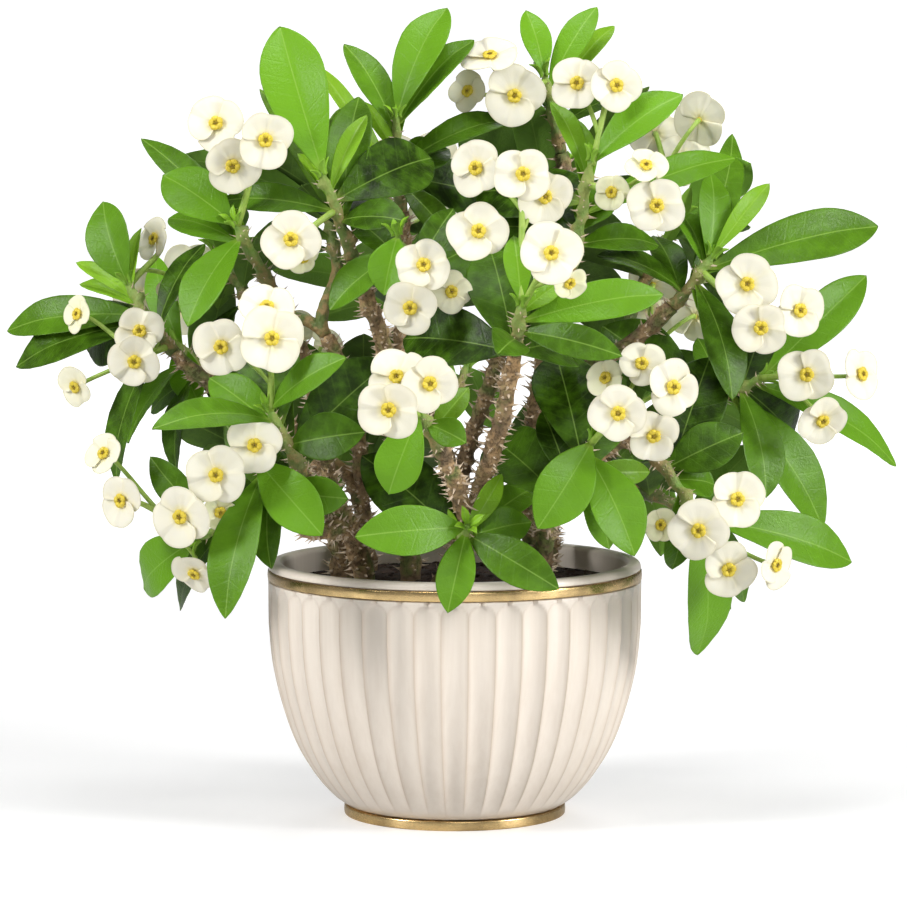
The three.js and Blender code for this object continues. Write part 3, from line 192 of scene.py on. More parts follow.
# Each front shoot: its path, and its leaves from the tip down, each with the column and row of its
# tip, its width in grid steps and how much further back than usual its tip lies.
SHOOTS = {
    "left": {
        "path": [(176, 350, -8), (148, 316, -4), (128, 280, 2)],
        "leaves": [(104, 199, 48, 0), (142, 225, 14, 0), (76, 254, 16, 0), (80, 275, 16, 0),
                   (6, 326, 38, 0), (15, 362, 47, 0), (205, 240, 28, 0), (67, 448, 35, 0)],
    },
    "left_dark": {
        "path": [(226, 398, 14), (196, 366, 22), (176, 338, 28)],
        "leaves": [(200, 402, 36, 0), (150, 250, 34, 0), (127, 440, 36, 0), (175, 470, 34, 0),
                   (135, 398, 30, 0), (238, 300, 30, 14)],
    },
    "left_mid": {
        "path": [(304, 474, -72), (288, 440, -80), (268, 405, -86)],
        "leaves": [(353, 358, 30, 0), (135, 487, 33, 0), (210, 375, 40, 0), (365, 430, 45, 0),
                   (280, 362, 26, 0)],
    },
    "left_high": {
        "path": [(272, 285, -32), (254, 252, -38), (236, 220, -44)],
        "leaves": [(165, 172, 50, 0), (188, 323, 42, 0), (170, 215, 34, 12), (144, 148, 30, 16),
                   (222, 186, 16, 0)],
    },
    "left_low": {
        "path": [(304, 524, -66), (276, 486, -74), (255, 455, -78)],
        "leaves": [(322, 533, 50, 0), (223, 617, 46, 0), (270, 567, 34, 0), (348, 497, 38, 0),
                   (225, 420, 28, 0)],
    },
    "left_edge": {
        "path": [(262, 508, -34), (228, 524, -38), (196, 538, -42)],
        "leaves": [(104, 585, 50, 0), (150, 455, 34, 0), (176, 610, 30, 14)],
    },
    "top_left": {
        "path": [(354, 255, -44), (338, 212, -48), (324, 170, -52)],
        "leaves": [(282, 25, 64, 0), (308, 115, 14, 0), (368, 112, 20, 0), (300, 150, 14, 0),
                   (223, 197, 30, 0), (408, 218, 36, 0), (360, 92, 44, 16), (262, 82, 26, 20)],
    },
    "top": {
        "path": [(403, 208, -2), (399, 160, -6), (398, 112, -10)],
        "leaves": [(447, 5, 45, 0), (474, 36, 32, 0), (347, 41, 32, 0), (372, 51, 20, 0), (412, 60, 14, 0),
                   (362, 98, 16, 0), (515, 115, 32, 0), (450, 145, 40, 0), (455, 238, 28, 0),
                   (315, 60, 18, 18)],
    },
    "centre_high": {
        "path": [(418, 305, -52), (406, 266, -58), (398, 230, -62)],
        "leaves": [(385, 292, 40, 0), (324, 288, 33, 0), (345, 222, 32, 8), (455, 205, 30, 8)],
    },
    "top_back": {
        "path": [(562, 150, 26), (553, 110, 24), (545, 72, 22)],
        "leaves": [(527, 9, 30, 0), (597, 5, 30, 0), (615, 22, 22, 10), (500, 60, 24, 16),
                   (632, 92, 28, 12)],
    },
    "top_right": {
        "path": [(572, 268, -30), (582, 222, -34), (592, 156, -38)],
        "leaves": [(675, 97, 38, 0), (553, 98, 22, 0), (580, 118, 24, 0), (737, 153, 32, 0),
                   (608, 186, 42, 0), (660, 240, 34, 10)],
    },
    "right": {
        "path": [(674, 304, -18), (695, 280, -20), (714, 252, -22)],
        "leaves": [(770, 180, 22, 0), (712, 168, 35, 0), (680, 207, 34, 0), (880, 222, 50, 0),
                   (815, 232, 26, 0), (735, 397, 42, 0), (712, 322, 20, 0), (735, 130, 35, 20),
                   (600, 250, 36, 8), (655, 232, 34, 12)],
    },
    "right_edge": {
        "path": [(700, 408, -10), (735, 388, -12), (766, 374, -14)],
        "leaves": [(868, 272, 45, 0), (902, 462, 36, 0), (770, 495, 43, 0), (837, 522, 47, 0),
                   (700, 335, 34, 10)],
    },
    "right_low": {
        "path": [(650, 448, -42), (682, 486, -50), (706, 520, -56)],
        "leaves": [(857, 560, 45, 0), (705, 658, 50, 0), (749, 602, 32, 14), (676, 570, 34, 0),
                   (718, 482, 35, 0), (745, 430, 46, 0)],
    },
    "centre": {
        "path": [(516, 352, -92), (520, 326, -96), (523, 300, -100)],
        "leaves": [(515, 232, 27, 0), (562, 280, 22, 0), (665, 290, 38, 0), (623, 353, 32, 0),
                   (500, 350, 40, -24)],
    },
    "front": {
        "path": [(440, 446, -104), (430, 428, -110), (420, 408, -115)],
        "leaves": [(386, 488, 45, 0), (467, 440, 28, 0), (470, 385, 24, 0)],
    },
    "right_mid": {
        "path": [(562, 502, -74), (580, 470, -82), (595, 436, -88)],
        "leaves": [(540, 527, 55, 0), (640, 550, 50, 0), (612, 548, 32, 14), (653, 470, 25, 0),
                   (544, 408, 32, 0)],
    },
    "rim": {
        "path": [(461, 546, -66), (465, 538, -75), (469, 525, -84)],
        "leaves": [(357, 535, 48, 0), (449, 612, 37, 0), (560, 588, 42, 0), (504, 472, 22, 0),
                   (533, 520, 36, 0), (526, 437, 33, 10), (457, 498, 14, 0)],
    },
}

# The far side's shoots: arms that repeat front shoots turned about the pot's axis, without some leaves.
FAR_LIMBS = {"back_right": 0.36}  # how far towards the heart a far shoot forks, where it isn't as usual
FAR_SHOOTS = {
    "back_right_low": [("left_low", 180, ()), ("left_mid", 172, ())],
    "back_right": [("left_edge", 176, (0,)), ("left_high", 170, (3,))],
    "back_middle": [("front", 184, ()), ("centre", 178, ())],
    "back_left_low": [("right_mid", 176, ()), ("right_low", 186, (0, 1, 2))],
    "back_left": [("right", 172, (0, 3, 4, 7)), ("top_right", 184, (0,))],
    "back_top": [("top_left", 186, (0, 1)), ("centre_high", 176, ())],
}

# Each bloom cluster: its shoot, its depth and its flowers, the nearest first, each with its column, row
# and width, and how far it looks to the right and upwards.
BLOOMS = {
    "bloom_top_left": ("left_high", -56, [
        (267, 138, 60, 0.2, 0.0), (235, 163, 60, 0.0, -0.3), (219, 122, 62, -0.2, 0.3)]),
    "bloom_high_left": ("top_left", -68, [(293, 237, 60, -0.1, 0.1), (308, 258, 34, 0.4, -0.3)]),
    "bloom_left_back": ("left", 20, [(157, 237, 48, -0.7, 0.3), (176, 282, 44, 0.3, -0.6)]),
    "bloom_left_mid": ("left_mid", -98, [
        (273, 336, 66, 0.1, 0.1), (223, 344, 58, -0.2, -0.1), (268, 300, 58, 0.0, 0.6)]),
    "bloom_left": ("left", -22, [
        (136, 359, 56, -0.1, -0.1), (141, 327, 54, 0.1, 0.3), (77, 384, 46, -0.6, -0.3),
        (80, 312, 42, -0.7, 0.2)]),
    "bloom_left_front": ("left_low", -96, [
        (217, 473, 62, -0.1, 0.0), (186, 513, 64, -0.4, -0.1), (255, 444, 58, 0.1, 0.3),
        (220, 510, 38, 0.3, -0.3)]),
    "bloom_left_low": ("left_edge", -48, [
        (122, 499, 56, -0.6, 0.0), (195, 572, 50, -0.4, -0.6), (105, 452, 46, -0.5, 0.4)]),
    "bloom_centre_high": ("centre_high", -88, [
        (412, 305, 56, -0.2, -0.1), (425, 263, 56, 0.0, 0.3), (452, 289, 44, 0.3, 0.0)]),
    "bloom_crown": ("centre", -92, [
        (524, 172, 58, 0.0, 0.1), (480, 229, 62, -0.1, 0.2), (545, 194, 58, 0.3, -0.1),
        (478, 166, 58, -0.4, 0.1)]),
    "bloom_top": ("top_back", 2, [
        (515, 94, 66, 0.1, 0.0), (492, 64, 66, -0.1, 0.85), (470, 90, 46, -0.5, 0.3)]),
    "bloom_top_right": ("top_right", -40, [(616, 84, 56, 0.3, 0.1), (578, 82, 56, -0.2, 0.2)]),
    "bloom_right_high": ("top_right", -64, [
        (657, 203, 62, 0.1, 0.0), (645, 170, 44, 0.1, 0.6), (613, 190, 40, -0.4, 0.1)]),
    "bloom_centre": ("centre", -116, [(552, 251, 64, 0.1, 0.2), (570, 280, 36, 0.4, -0.4)]),
    "bloom_right": ("right", -50, [
        (762, 325, 58, 0.0, -0.1), (748, 282, 64, 0.0, 0.2), (800, 308, 58, 0.4, 0.1)]),
    "bloom_right_edge": ("right_edge", -36, [
        (808, 372, 60, 0.0, 0.0), (820, 413, 54, 0.3, -0.4), (862, 372, 58, 0.7, 0.2)]),
    "bloom_front": ("front", -132, [
        (390, 407, 62, -0.1, -0.1), (430, 381, 58, 0.3, 0.0), (397, 371, 62, -0.1, 0.5)]),
    "bloom_right_mid": ("right_mid", -108, [
        (620, 411, 58, -0.1, 0.0), (655, 433, 54, 0.1, -0.3), (674, 385, 58, 0.3, 0.1),
        (643, 362, 48, 0.0, 0.4), (608, 376, 42, -0.5, 0.3)]),
    "bloom_right_low": ("right_low", -78, [
        (701, 529, 63, -0.1, 0.0), (739, 498, 60, 0.2, 0.2), (731, 568, 58, 0.1, -0.2),
        (770, 562, 52, 0.7, -0.1), (664, 524, 36, -0.5, 0.2)]),
}

# The far side's clusters: a front cluster turned about the pot's axis, on a far shoot.
FAR_BLOOMS = {
    "bloom_back_right": ("bloom_left_mid", 172, "back_right_low"),
    "bloom_back_high": ("bloom_top_left", 170, "back_right"),
    "bloom_back_middle": ("bloom_crown", 180, "back_middle"),
    "bloom_back_left": ("bloom_right_mid", 178, "back_left_low"),
    "bloom_back_edge": ("bloom_right", 174, "back_left"),
}


# ---------------------------------------------------------------- settings


class PotSettings(bpy.types.PropertyGroup):
    """Sizes and colours of the pot, its gold rings and its soil."""

    flute_depth: bpy.props.FloatProperty(
        name="Flute Depth", description="How deep the flutes are in their middle",
        default=1.8 * MM, min=0, max=3 * MM, unit="LENGTH", subtype="DISTANCE", precision=4)
    glaze: bpy.props.FloatVectorProperty(
        name="Glaze", description="Cream of the glaze", size=3, subtype="COLOR",
        default=(0.79, 0.71, 0.62), min=0, max=1)
    # Glaze Shade also colours the painted shade line along each flute's ridge.
    glaze_shade: bpy.props.FloatVectorProperty(
        name="Glaze Shade", description="Darker cream of the streaks and ridges", size=3, subtype="COLOR",
        default=(0.55, 0.44, 0.34), min=0, max=1)
    gold: bpy.props.FloatVectorProperty(
        name="Gold", description="Colour of the rim band and the foot ring", size=3, subtype="COLOR",
        default=(0.86, 0.62, 0.29), min=0, max=1)
    soil: bpy.props.FloatVectorProperty(
        name="Soil", description="Dark brown of the potting soil", size=3, subtype="COLOR",
        default=(0.020, 0.011, 0.007), min=0, max=1)
    crumbs: bpy.props.IntProperty(
        name="Crumbs", description="How many crumbs lie on the soil", default=900, min=0, max=1500)


class PlantSettings(bpy.types.PropertyGroup):
    """Sizes and colours of the stems, leaves and blooms."""

    thorn_length: bpy.props.FloatProperty(
        name="Thorn Length", description="Length of the longest thorns over the bark",
        default=5.4 * MM, min=2 * MM, max=5.6 * MM, unit="LENGTH", subtype="DISTANCE", precision=4)
    bark: bpy.props.FloatVectorProperty(
        name="Bark", description="Grey-brown of the old bark", size=3, subtype="COLOR",
        default=(0.150, 0.100, 0.052), min=0, max=1)
    bark_warm: bpy.props.FloatVectorProperty(
        name="Warm Bark", description="Orange-brown of the younger bark", size=3, subtype="COLOR",
        default=(0.44, 0.27, 0.12), min=0, max=1)
    moss: bpy.props.FloatVectorProperty(
        name="Moss", description="Green that shows between the warts", size=3, subtype="COLOR",
        default=(0.15, 0.20, 0.045), min=0, max=1)
    thorn: bpy.props.FloatVectorProperty(
        name="Thorns", description="Pale tan of the thorns' tips", size=3, subtype="COLOR",
        default=(0.74, 0.60, 0.44), min=0, max=1)
    leaf: bpy.props.FloatVectorProperty(
        name="Leaf", description="Green of a full-grown leaf", size=3, subtype="COLOR",
        default=(0.080, 0.190, 0.008), min=0, max=1)
    young_leaf: bpy.props.FloatVectorProperty(
        name="Young Leaf", description="Yellow-green of a young leaf", size=3, subtype="COLOR",
        default=(0.25, 0.48, 0.025), min=0, max=1)
    bract: bpy.props.FloatVectorProperty(
        name="Bract", description="Cream white of the bracts", size=3, subtype="COLOR",
        default=(0.81, 0.765, 0.62), min=0, max=1)
    gland: bpy.props.FloatVectorProperty(
        name="Glands", description="Yellow of the ring in a flower's middle", size=3, subtype="COLOR",
        default=(0.80, 0.62, 0.045), min=0, max=1)


class StageSettings(bpy.types.PropertyGroup):
    """The plain stage that the plant stands on."""

    floor: bpy.props.FloatVectorProperty(
        name="Floor", description="Pale colour of the floor and backdrop", size=3, subtype="COLOR",
        default=(0.60, 0.60, 0.60), min=0, max=1)
    glow: bpy.props.FloatProperty(
        name="Glow", description="How much brighter the floor looks", default=0.40, min=0, max=2)
    brightness: bpy.props.FloatProperty(
        name="Brightness", description="Strength of the studio light", default=1.0, min=0, max=4)


# ---------------------------------------------------------------- vectors, places and curves


def unit(vector):
    return vector / np.linalg.norm(vector)


def square(vector, axis):
    """The part of a vector that is square to an axis, at unit length."""
    return unit(vector - axis * np.dot(vector, axis))


def spun(vector, axis, angle):
    """A vector turned about a unit axis by an angle in radians."""
    across = np.cross(axis, vector)
    lengthwise = axis * np.dot(axis, vector)
    return vector * math.cos(angle) + across * math.sin(angle) + lengthwise * (1 - math.cos(angle))


def turned(vector, degrees):
    """A vector turned about the pot's axis."""
    return spun(np.asarray(vector, float), UP, math.radians(degrees))


def place(column, row, depth):
    """The point behind a column and row of the front elevation, at a depth behind the pot's axis."""
    spread = (GRID["eye_distance"] + depth) / GRID["eye_distance"]
    across = (column - GRID["axis_column"]) * GRID["step"]
    above = (GRID["floor_row"] - row) * GRID["step"] - GRID["eye_height"]
    return np.array([across * spread, depth, GRID["eye_height"] + above * spread])


def draw(first, second):
    """A repeatable draw between 0 and 1 from two whole numbers, by a linear congruential generator."""
    span = 2**32
    state = (first * 7919 + second * 104729 + 12345) % span
    for _ in range(3):
        state = (state * 1664525 + 1013904223) % span
    return state / span


def between(first, last, share):
    return first + (last - first) * share


def ease(low, high, value):
    """0 below low, 1 above high, and a smooth rise in between."""
    share = np.clip((np.asarray(value, float) - low) / (high - low), 0, 1)
    return share * share * (3 - 2 * share)


def rough(points, hills):
    """Smooth noise at each point, added up from hills that each have a height and size in mm and a seed."""
    rise = 0
    for height, size, seed in hills:
        flat = np.asarray(points, float).reshape(-1, 3) / size + seed
        level = np.array([noise.noise(Vector(point)) for point in flat])
        rise = rise + height * level.reshape(np.shape(points)[:-1])
    return rise


class Curve:
    """A cubic curve between two points, drawn towards two others."""

    def __init__(self, start, first, second, end):
        self.knots = [np.asarray(knot, float) for knot in (start, first, second, end)]

    def at(self, share):
        """The point at a share of the way, or the points at several shares."""
        t = np.asarray(share, float)[..., None]
        a, b, c, d = self.knots
        return (1 - t) ** 3 * a + 3 * (1 - t) ** 2 * t * b + 3 * (1 - t) * t**2 * c + t**3 * d

    def way(self, share):
        """The way that the curve runs there, at unit length."""
        t = np.asarray(share, float)[..., None]
        a, b, c, d = self.knots
        slope = (1 - t) ** 2 * (b - a) + 2 * (1 - t) * t * (c - b) + t**2 * (d - c)
        return slope / np.linalg.norm(slope, axis=-1, keepdims=True)

    def length(self):
        points = self.at(np.linspace(0, 1, 101))
        return np.linalg.norm(np.diff(points, axis=0), axis=1).sum()


def bend(start, start_way, end, end_way):
    """A curve between two points that leaves and arrives the given ways."""
    reach = np.linalg.norm(end - start) * STEM["bow"]
    return Curve(start, start + start_way * reach, end - end_way * reach, end)


# ---------------------------------------------------------------- meshes


class Shape:
    """The points, faces, material numbers and painted values of a piece while it is made."""

    def __init__(self, *paints):
        self.points = []
        self.faces = []
        self.slots = []
        self.paint = {name: [] for name in paints}

    def add(self, points, faces, slot=0, **paint):
        first = len(self.points)
        self.points.extend(np.asarray(points, float).tolist())
        self.faces.extend([[first + corner for corner in face] for face in faces])
        self.slots.extend([slot] * len(faces))
        for name, values in self.paint.items():
            given = np.broadcast_to(np.asarray(paint.get(name, 0.0), float), (len(points),))
            values.extend(given.tolist())

    def loft(self, start, rings, end, slot=0, **paint):
        """A closed skin from a start point through rings of points to an end point."""
        rings = np.asarray(rings, float)
        count, sides = rings.shape[:2]
        points = np.vstack([start, rings.reshape(-1, 3), end])
        near = 1 + np.arange(count - 1)[:, None] * sides + np.arange(sides)
        beside = 1 + np.arange(count - 1)[:, None] * sides + (np.arange(sides) + 1) % sides
        quads = np.stack([near, beside, beside + sides, near + sides], axis=-1).reshape(-1, 4)
        last = 1 + count * sides
        faces = quads.tolist()
        for i in range(sides):
            j = (i + 1) % sides
            faces.append([0, 1 + j, 1 + i])
            faces.append([last, last - sides + i, last - sides + j])
        painted = {name: ring_values(value, count, sides) for name, value in paint.items()}
        self.add(points, faces, slot, **painted)

    def piece(self, name, materials, cad_nodes, sharp=None):
        """Makes the object, which stands for its CAD nodes and rides with the rest."""
        mesh = bpy.data.meshes.new(name)
        mesh.from_pydata((np.array(self.points) * MM).tolist(), [], self.faces)
        mesh.polygons.foreach_set("material_index", self.slots)
        for paint, values in self.paint.items():
            layer = mesh.attributes.new(paint, "FLOAT", "POINT")
            layer.data.foreach_set("value", values)
        for material in materials:
            mesh.materials.append(material)
        face_outwards(mesh)
        mesh.shade_smooth()
        if sharp:
            mesh.set_sharp_from_angle(angle=math.radians(sharp))
        made = bpy.data.objects.new(name, mesh)
        bpy.context.scene.collection.objects.link(made)
        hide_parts(*cad_nodes)
        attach(made, "root")


def ring_values(value, count, sides):
    """Painted values for a loft's start, rings and end, from one value, one a ring or one a point."""
    value = np.asarray(value, float)
    if value.ndim == 1:
        value = value[:, None]
    full = np.broadcast_to(value, (count, sides))
    return np.concatenate([[full[0].mean()], full.ravel(), [full[-1].mean()]])


def face_outwards(mesh):
    work = bmesh.new()
    work.from_mesh(mesh)
    bmesh.ops.recalc_face_normals(work, faces=work.faces)
    work.to_mesh(mesh)
    work.free()


def tube_rings(centres, ways, radii, sides):
    """Rings of points round a line of centres, carried along it without twisting."""
    leaning = np.abs(ways.mean(axis=0))
    side = np.eye(3)[int(np.argmin(leaning))]
    angles = even_angles(sides)
    radii = np.broadcast_to(np.asarray(radii, float).reshape(len(centres), -1), (len(centres), sides))
    rings = []
    for centre, way, radius in zip(centres, ways, radii):
        side = square(side, way)
        other = np.cross(way, side)
        spokes = np.cos(angles)[:, None] * side + np.sin(angles)[:, None] * other
        rings.append(centre + spokes * radius[:, None])
    return np.array(rings)


def even_angles(count):
    return np.linspace(0, 2 * math.pi, count, endpoint=False)


def turned_rings(profile, angles):
    """Rings of points about the pot's axis, one for each radius and height of a profile."""
    return np.array([
        [(radius * math.cos(angle), radius * math.sin(angle), height) for angle in angles]
        for radius, height in profile])


def smooth_line(points, steps):
    """A Catmull-Rom line through points, with the given number of steps between neighbours."""
    knots = np.array([points[0], *points, points[-1]], float)
    line = []
    for a, b, c, d in zip(knots, knots[1:], knots[2:], knots[3:]):
        for t in np.linspace(0, 1, steps, endpoint=False):
            line.append(0.5 * (2 * b + (c - a) * t + (2 * a - 5 * b + 4 * c - d) * t**2
                               + (3 * b - a - 3 * c + d) * t**3))
    return np.array([*line, knots[-1]])


def quarter(centre, radii, start, steps=5):
    """Points of a quarter turn of a rounded edge, anticlockwise from a start angle in degrees."""
    angles = np.radians(np.linspace(start, start + 90, steps))
    return [(centre[0] + radii[0] * math.cos(a), centre[1] + radii[1] * math.sin(a)) for a in angles]


# ---------------------------------------------------------------- where leaves and flowers stand


class CadNode:
    """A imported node, to tell which of several settings the solids hold."""

    def __init__(self, name):
        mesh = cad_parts[name].data
        corners = [vertex.co / MM for vertex in mesh.vertices]
        self.tree = BVHTree.FromPolygons(corners, [list(face.vertices) for face in mesh.polygons])

    def best(self, choices, outline_of):
        """The choice whose outline lies nearest to the node's surface."""
        return min(choices, key=lambda choice: self.distance(outline_of(choice)))

    def distance(self, points):
        """Sum of the points' distances from the node's surface."""
        return sum(min(self.tree.find_nearest(Vector(point))[3], FAR_OFF) for point in points)


def path_curve(name, turn):
    """The curve of a front shoot, turned about the pot's axis."""
    start, middle, end = [turned(place(*spot), turn) for spot in SHOOTS[name]["path"]]
    bow = STEM["path_bow"]
    return Curve(start, start + (middle - start) * bow, end + (middle - end) * bow, end)


def arms_of(name):
    """A shoot's arms: the front shoot that each repeats, its turn, the leaves it skips, its curve."""
    arms = FAR_SHOOTS.get(name, [(name, 0, ())])
    return [(like, turn, skip, path_curve(like, turn)) for like, turn, skip in arms]


def shoot_start(name):
    """Where a shoot leaves its woody branch, and the way it grows there."""
    arms = arms_of(name)
    if len(arms) == 1:
        curve = arms[0][3]
        return curve.at(0), curve.way(0)
    middle = sum(curve.at(0) for *_, curve in arms) / len(arms)
    start = middle + (HEART - middle) * FAR_LIMBS.get(name, STEM["limb"])
    return start, unit(start - HEART)


def leaf_setting(like, turn, curve, number):
    """A leaf's foot, tip, the way its upper face looks and its half-width."""
    leaves = SHOOTS[like]["leaves"]
    column, row, wide, deep = leaves[number]
    share = LEAF["highest"] - (LEAF["highest"] - LEAF["lowest"]) * number / len(leaves)
    foot = curve.at(share)
    grow = turned(curve.way(share), -turn)
    level = turned(foot, -turn)
    flat = place(column, row, level[1]) - level
    reach = np.linalg.norm(flat)
    wanted = (LEAF["lean"] * reach - flat.dot(grow)) / min(grow[1], LEAF["outward"])
    deepest = LEAF["deepest"] * reach
    depth = float(np.clip(wanted, -deepest, deepest)) + deep
    tip = turned(place(column, row, level[1] + depth), turn)
    axis = unit(tip - foot)
    face = square(unit(foot - HEART) + turned(LEAF["light"], turn), axis)
    face = spun(face, axis, (draw(number, 1) - 0.5) * LEAF["twist"])
    side = turned(np.cross(face, axis), -turn)
    shown = max(LEAF["narrowest"], math.hypot(side[0], side[2]))
    return {"foot": foot, "tip": tip, "face": face, "half": wide * GRID["step"] / 2 / shown}


def even_ways(count):
    """Ways that point evenly all round."""
    step = math.pi * (3 - math.sqrt(5))
    for i in range(count):
        height = 1 - (2 * i + 1) / count
        across = math.sqrt(1 - height * height)
        yield np.array([across * math.cos(i * step), across * math.sin(i * step), height])


def is_in_body(point):
    """Whether a point is inside the bush, well above the soil."""
    return point[2] > BODY["floor"] and np.linalg.norm((point - BODY["centre"]) / BODY["radii"]) < 1


def inner_settings(turn, curve):
    """The inner leaves that an arm of a shoot could bear: they end inside the bush, behind their foot."""
    light = unit(turned(LEAF["light"], turn))
    for share in INNER["feet"]:
        foot, grow = curve.at(share), curve.way(share)
        for way in even_ways(INNER["ways"]):
            if not INNER["narrowest"] <= way.dot(grow) <= INNER["widest"]:
                continue
            if abs(way.dot(light)) > INNER["edge_on"]:
                continue
            for reach in INNER["reaches"]:
                tip = foot + way * reach
                depth = turned(foot + (tip - foot) * INNER["middle"], -turn)[1]
                behind = depth - turned(foot, -turn)[1]
                if is_in_body(tip) and behind > INNER["inward"] and depth > INNER["front"]:
                    face = square(light, way)
                    half = INNER["half"] * INNER["fuller"]
                    # An inner leaf is painted at its darkest green: painted shade inside the bush.
                    yield {"foot": foot, "tip": tip, "face": face, "half": half, "fresh_and_lit": 0}


def swung(setting, pitch, sway):
    """A leaf's setting turned about its foot, up or down by the pitch and sideways by the sway."""
    axis = unit(setting["tip"] - setting["foot"])
    side = np.cross(setting["face"], axis)
    face = setting["face"]

    def swing(vector):
        return spun(spun(vector, side, math.radians(pitch)), face, math.radians(sway))

    return {**setting, "tip": setting["foot"] + swing(setting["tip"] - setting["foot"]), "face": swing(face)}


def leaf_outline(setting):
    """Points of the leaf's edge and tip, for comparing with the solids."""
    foot, tip, face = setting["foot"], setting["tip"], setting["face"]
    side = np.cross(face, unit(tip - foot))
    reach = np.linalg.norm(tip - foot)
    points = [tip, tip * 0.9 + foot * 0.1]
    for share in LEAF_CHECKS:
        middle = foot + (tip - foot) * share + face * (LEAF["arch"] * reach * 4 * share * (1 - share))
        points += [middle + side * setting["half"] * 0.8, middle - side * setting["half"] * 0.8]
    return points


def flower_setting(name, depth, turn, flower, number):
    """A flower's middle, the way it looks, the way its upper bract points and its radius."""
    column, row, wide, right, high = flower
    centre = turned(place(column, row, depth + number * FLOWER["spacing"]), turn)
    front = -math.sqrt(max(0.05, 1 - right * right - high * high))
    face = unit(turned((right, front, high), turn))
    way = spun(square(UP, face), face, draw(number, len(name)) * math.pi)
    return {"centre": centre, "face": face, "way": way, "radius": wide * GRID["step"] / 2}


def flower_outline(setting):
    """Points of the bracts' rim, for comparing with the solids."""
    side = np.cross(setting["face"], setting["way"])
    points = []
    for degrees in FLOWER_CHECKS:
        angle = math.radians(degrees)
        spoke = math.cos(angle) * setting["way"] + math.sin(angle) * side
        points.append(setting["centre"] + spoke * setting["radius"] + setting["face"] * FLOWER["dish"])
    return points


# ---------------------------------------------------------------- pot, gold rings and soil


def flute_angles():
    """Angles round the pot, closer together beside the ridges between the flutes."""
    half_pitch = math.pi / POT["flutes"]
    return np.concatenate([(2 * k + FLUTE_SPOTS) * half_pitch for k in range(POT["flutes"])])


def flute(rings, depth):
    """Presses the flutes into the outside wall's rings, and gives the painted shade line along each ridge.
    """
    pitch = 2 * math.pi / POT["flutes"]
    turns = np.arctan2(rings[..., 1], rings[..., 0]) / pitch
    across = 2 * (turns - np.round(turns))
    radius = np.hypot(rings[..., 0], rings[..., 1])
    half_pitch = radius * pitch / 2
    height = rings[..., 2]
    climb = np.clip((height - POT["flute_top"]) / half_pitch + 1, 0, 1)
    half = np.sqrt(np.maximum(1 - climb**2, 1e-6))
    inside = 1 - np.abs(across) / half
    channel = 1 - (1 - np.clip(inside, 0, 1)) ** POT["flute_round"]
    fade = ease(POT["flute_foot"], POT["flute_foot"] + POT["flute_rise"], height)
    scale = 1 - depth * channel * fade / POT["widest"]
    rings[..., 0] *= scale
    rings[..., 1] *= scale
    return np.exp(-((inside / POT["ridge"]) ** 2)) * fade * (1 - climb)


def pot_lip():
    """Points from the wall's top round the recess of the rim band and over the lip."""
    widest, mouth, height = POT["widest"], POT["mouth"], POT["height"]
    bed, low, high = POT["recess"], POT["recess_low"], POT["recess_high"]
    recess = [(widest, low - 0.1), (widest - 0.2, low), (bed, low), (bed, high), (widest - 0.4, high)]
    outer, inner = (2.2, 2.1), (2.1, 2.2)  # how wide and how high the lip's two round edges are
    return [
        *recess, (widest, high + 0.35), (widest - 0.1, height - 2.2),
        *quarter((widest - 0.1 - outer[0], height - outer[1]), outer, 0, 7),
        *quarter((mouth + inner[0], height - inner[1]), inner, 90, 7),
    ]


def make_pot(settings, materials):
    angles = flute_angles()
    base = POT["base"]
    foot = turned_rings([(20, 0), (38, 0), (base - 0.4, 0), (base, 0.4), (base, POT["foot_top"])], angles)
    wall = turned_rings(np.vstack([smooth_line(WALL[:-1], 6), smooth_line(WALL[-2:], 26)[1:]]), angles)
    # The painted shade line along each ridge, which darkens the glaze there.
    ridge_shade = flute(wall, settings.flute_depth / MM)
    above = turned_rings([*pot_lip(), *HOLLOW], angles)
    ridge = np.concatenate([np.zeros(foot.shape[:2]), ridge_shade, np.zeros(above.shape[:2])])
    shape = Shape("ridge")
    shape.loft((0, 0, 0), np.concatenate([foot, wall, above]), (0, 0, POT["floor"]), ridge=ridge)
    shape.piece("pot_glazed", materials, ["pot"], sharp=40)


def hoop_profile(size, edge=0.5, bulge=0.12):
    """Section of a gold ring with rounded edges and a slightly bulging outside."""
    low, high, inner, outer = size["low"], size["high"], size["inner"], size["outer"]
    outer -= bulge
    middle = (low + high) / 2
    return [
        (inner, low), *quarter((outer - edge, low + edge), (edge, edge), 270),
        (outer + bulge, middle), *quarter((outer - edge, high - edge), (edge, edge), 0), (inner, high),
    ]


def make_hoop(name, node, size, materials, segments=288):
    """A gold ring, closed upon itself."""
    rings = turned_rings(hoop_profile(size), even_angles(segments))
    sides = len(rings)
    faces = []
    for i in range(segments):
        here, beside = i * sides, (i + 1) % segments * sides
        for k in range(sides):
            after = (k + 1) % sides
            faces.append([here + k, beside + k, beside + after, here + after])
    shape = Shape()
    shape.add(rings.transpose(1, 0, 2).reshape(-1, 3), faces)
    shape.piece(name, materials, [node], sharp=50)


def soil_height(x, y):
    """Height of the mounded and lumpy surface of the soil."""
    from_edge = np.maximum(0, 1 - np.hypot(x, y) / SOIL_EDGE)
    lumps = np.sin(x * 0.31 + 1.3) * np.cos(y * 0.27 + 0.4) + 0.6 * np.sin((x + y) * 0.47)
    return SOIL["level"] + SOIL["mound"] * from_edge + SOIL["lump"] * lumps * np.minimum(1, from_edge * 3)


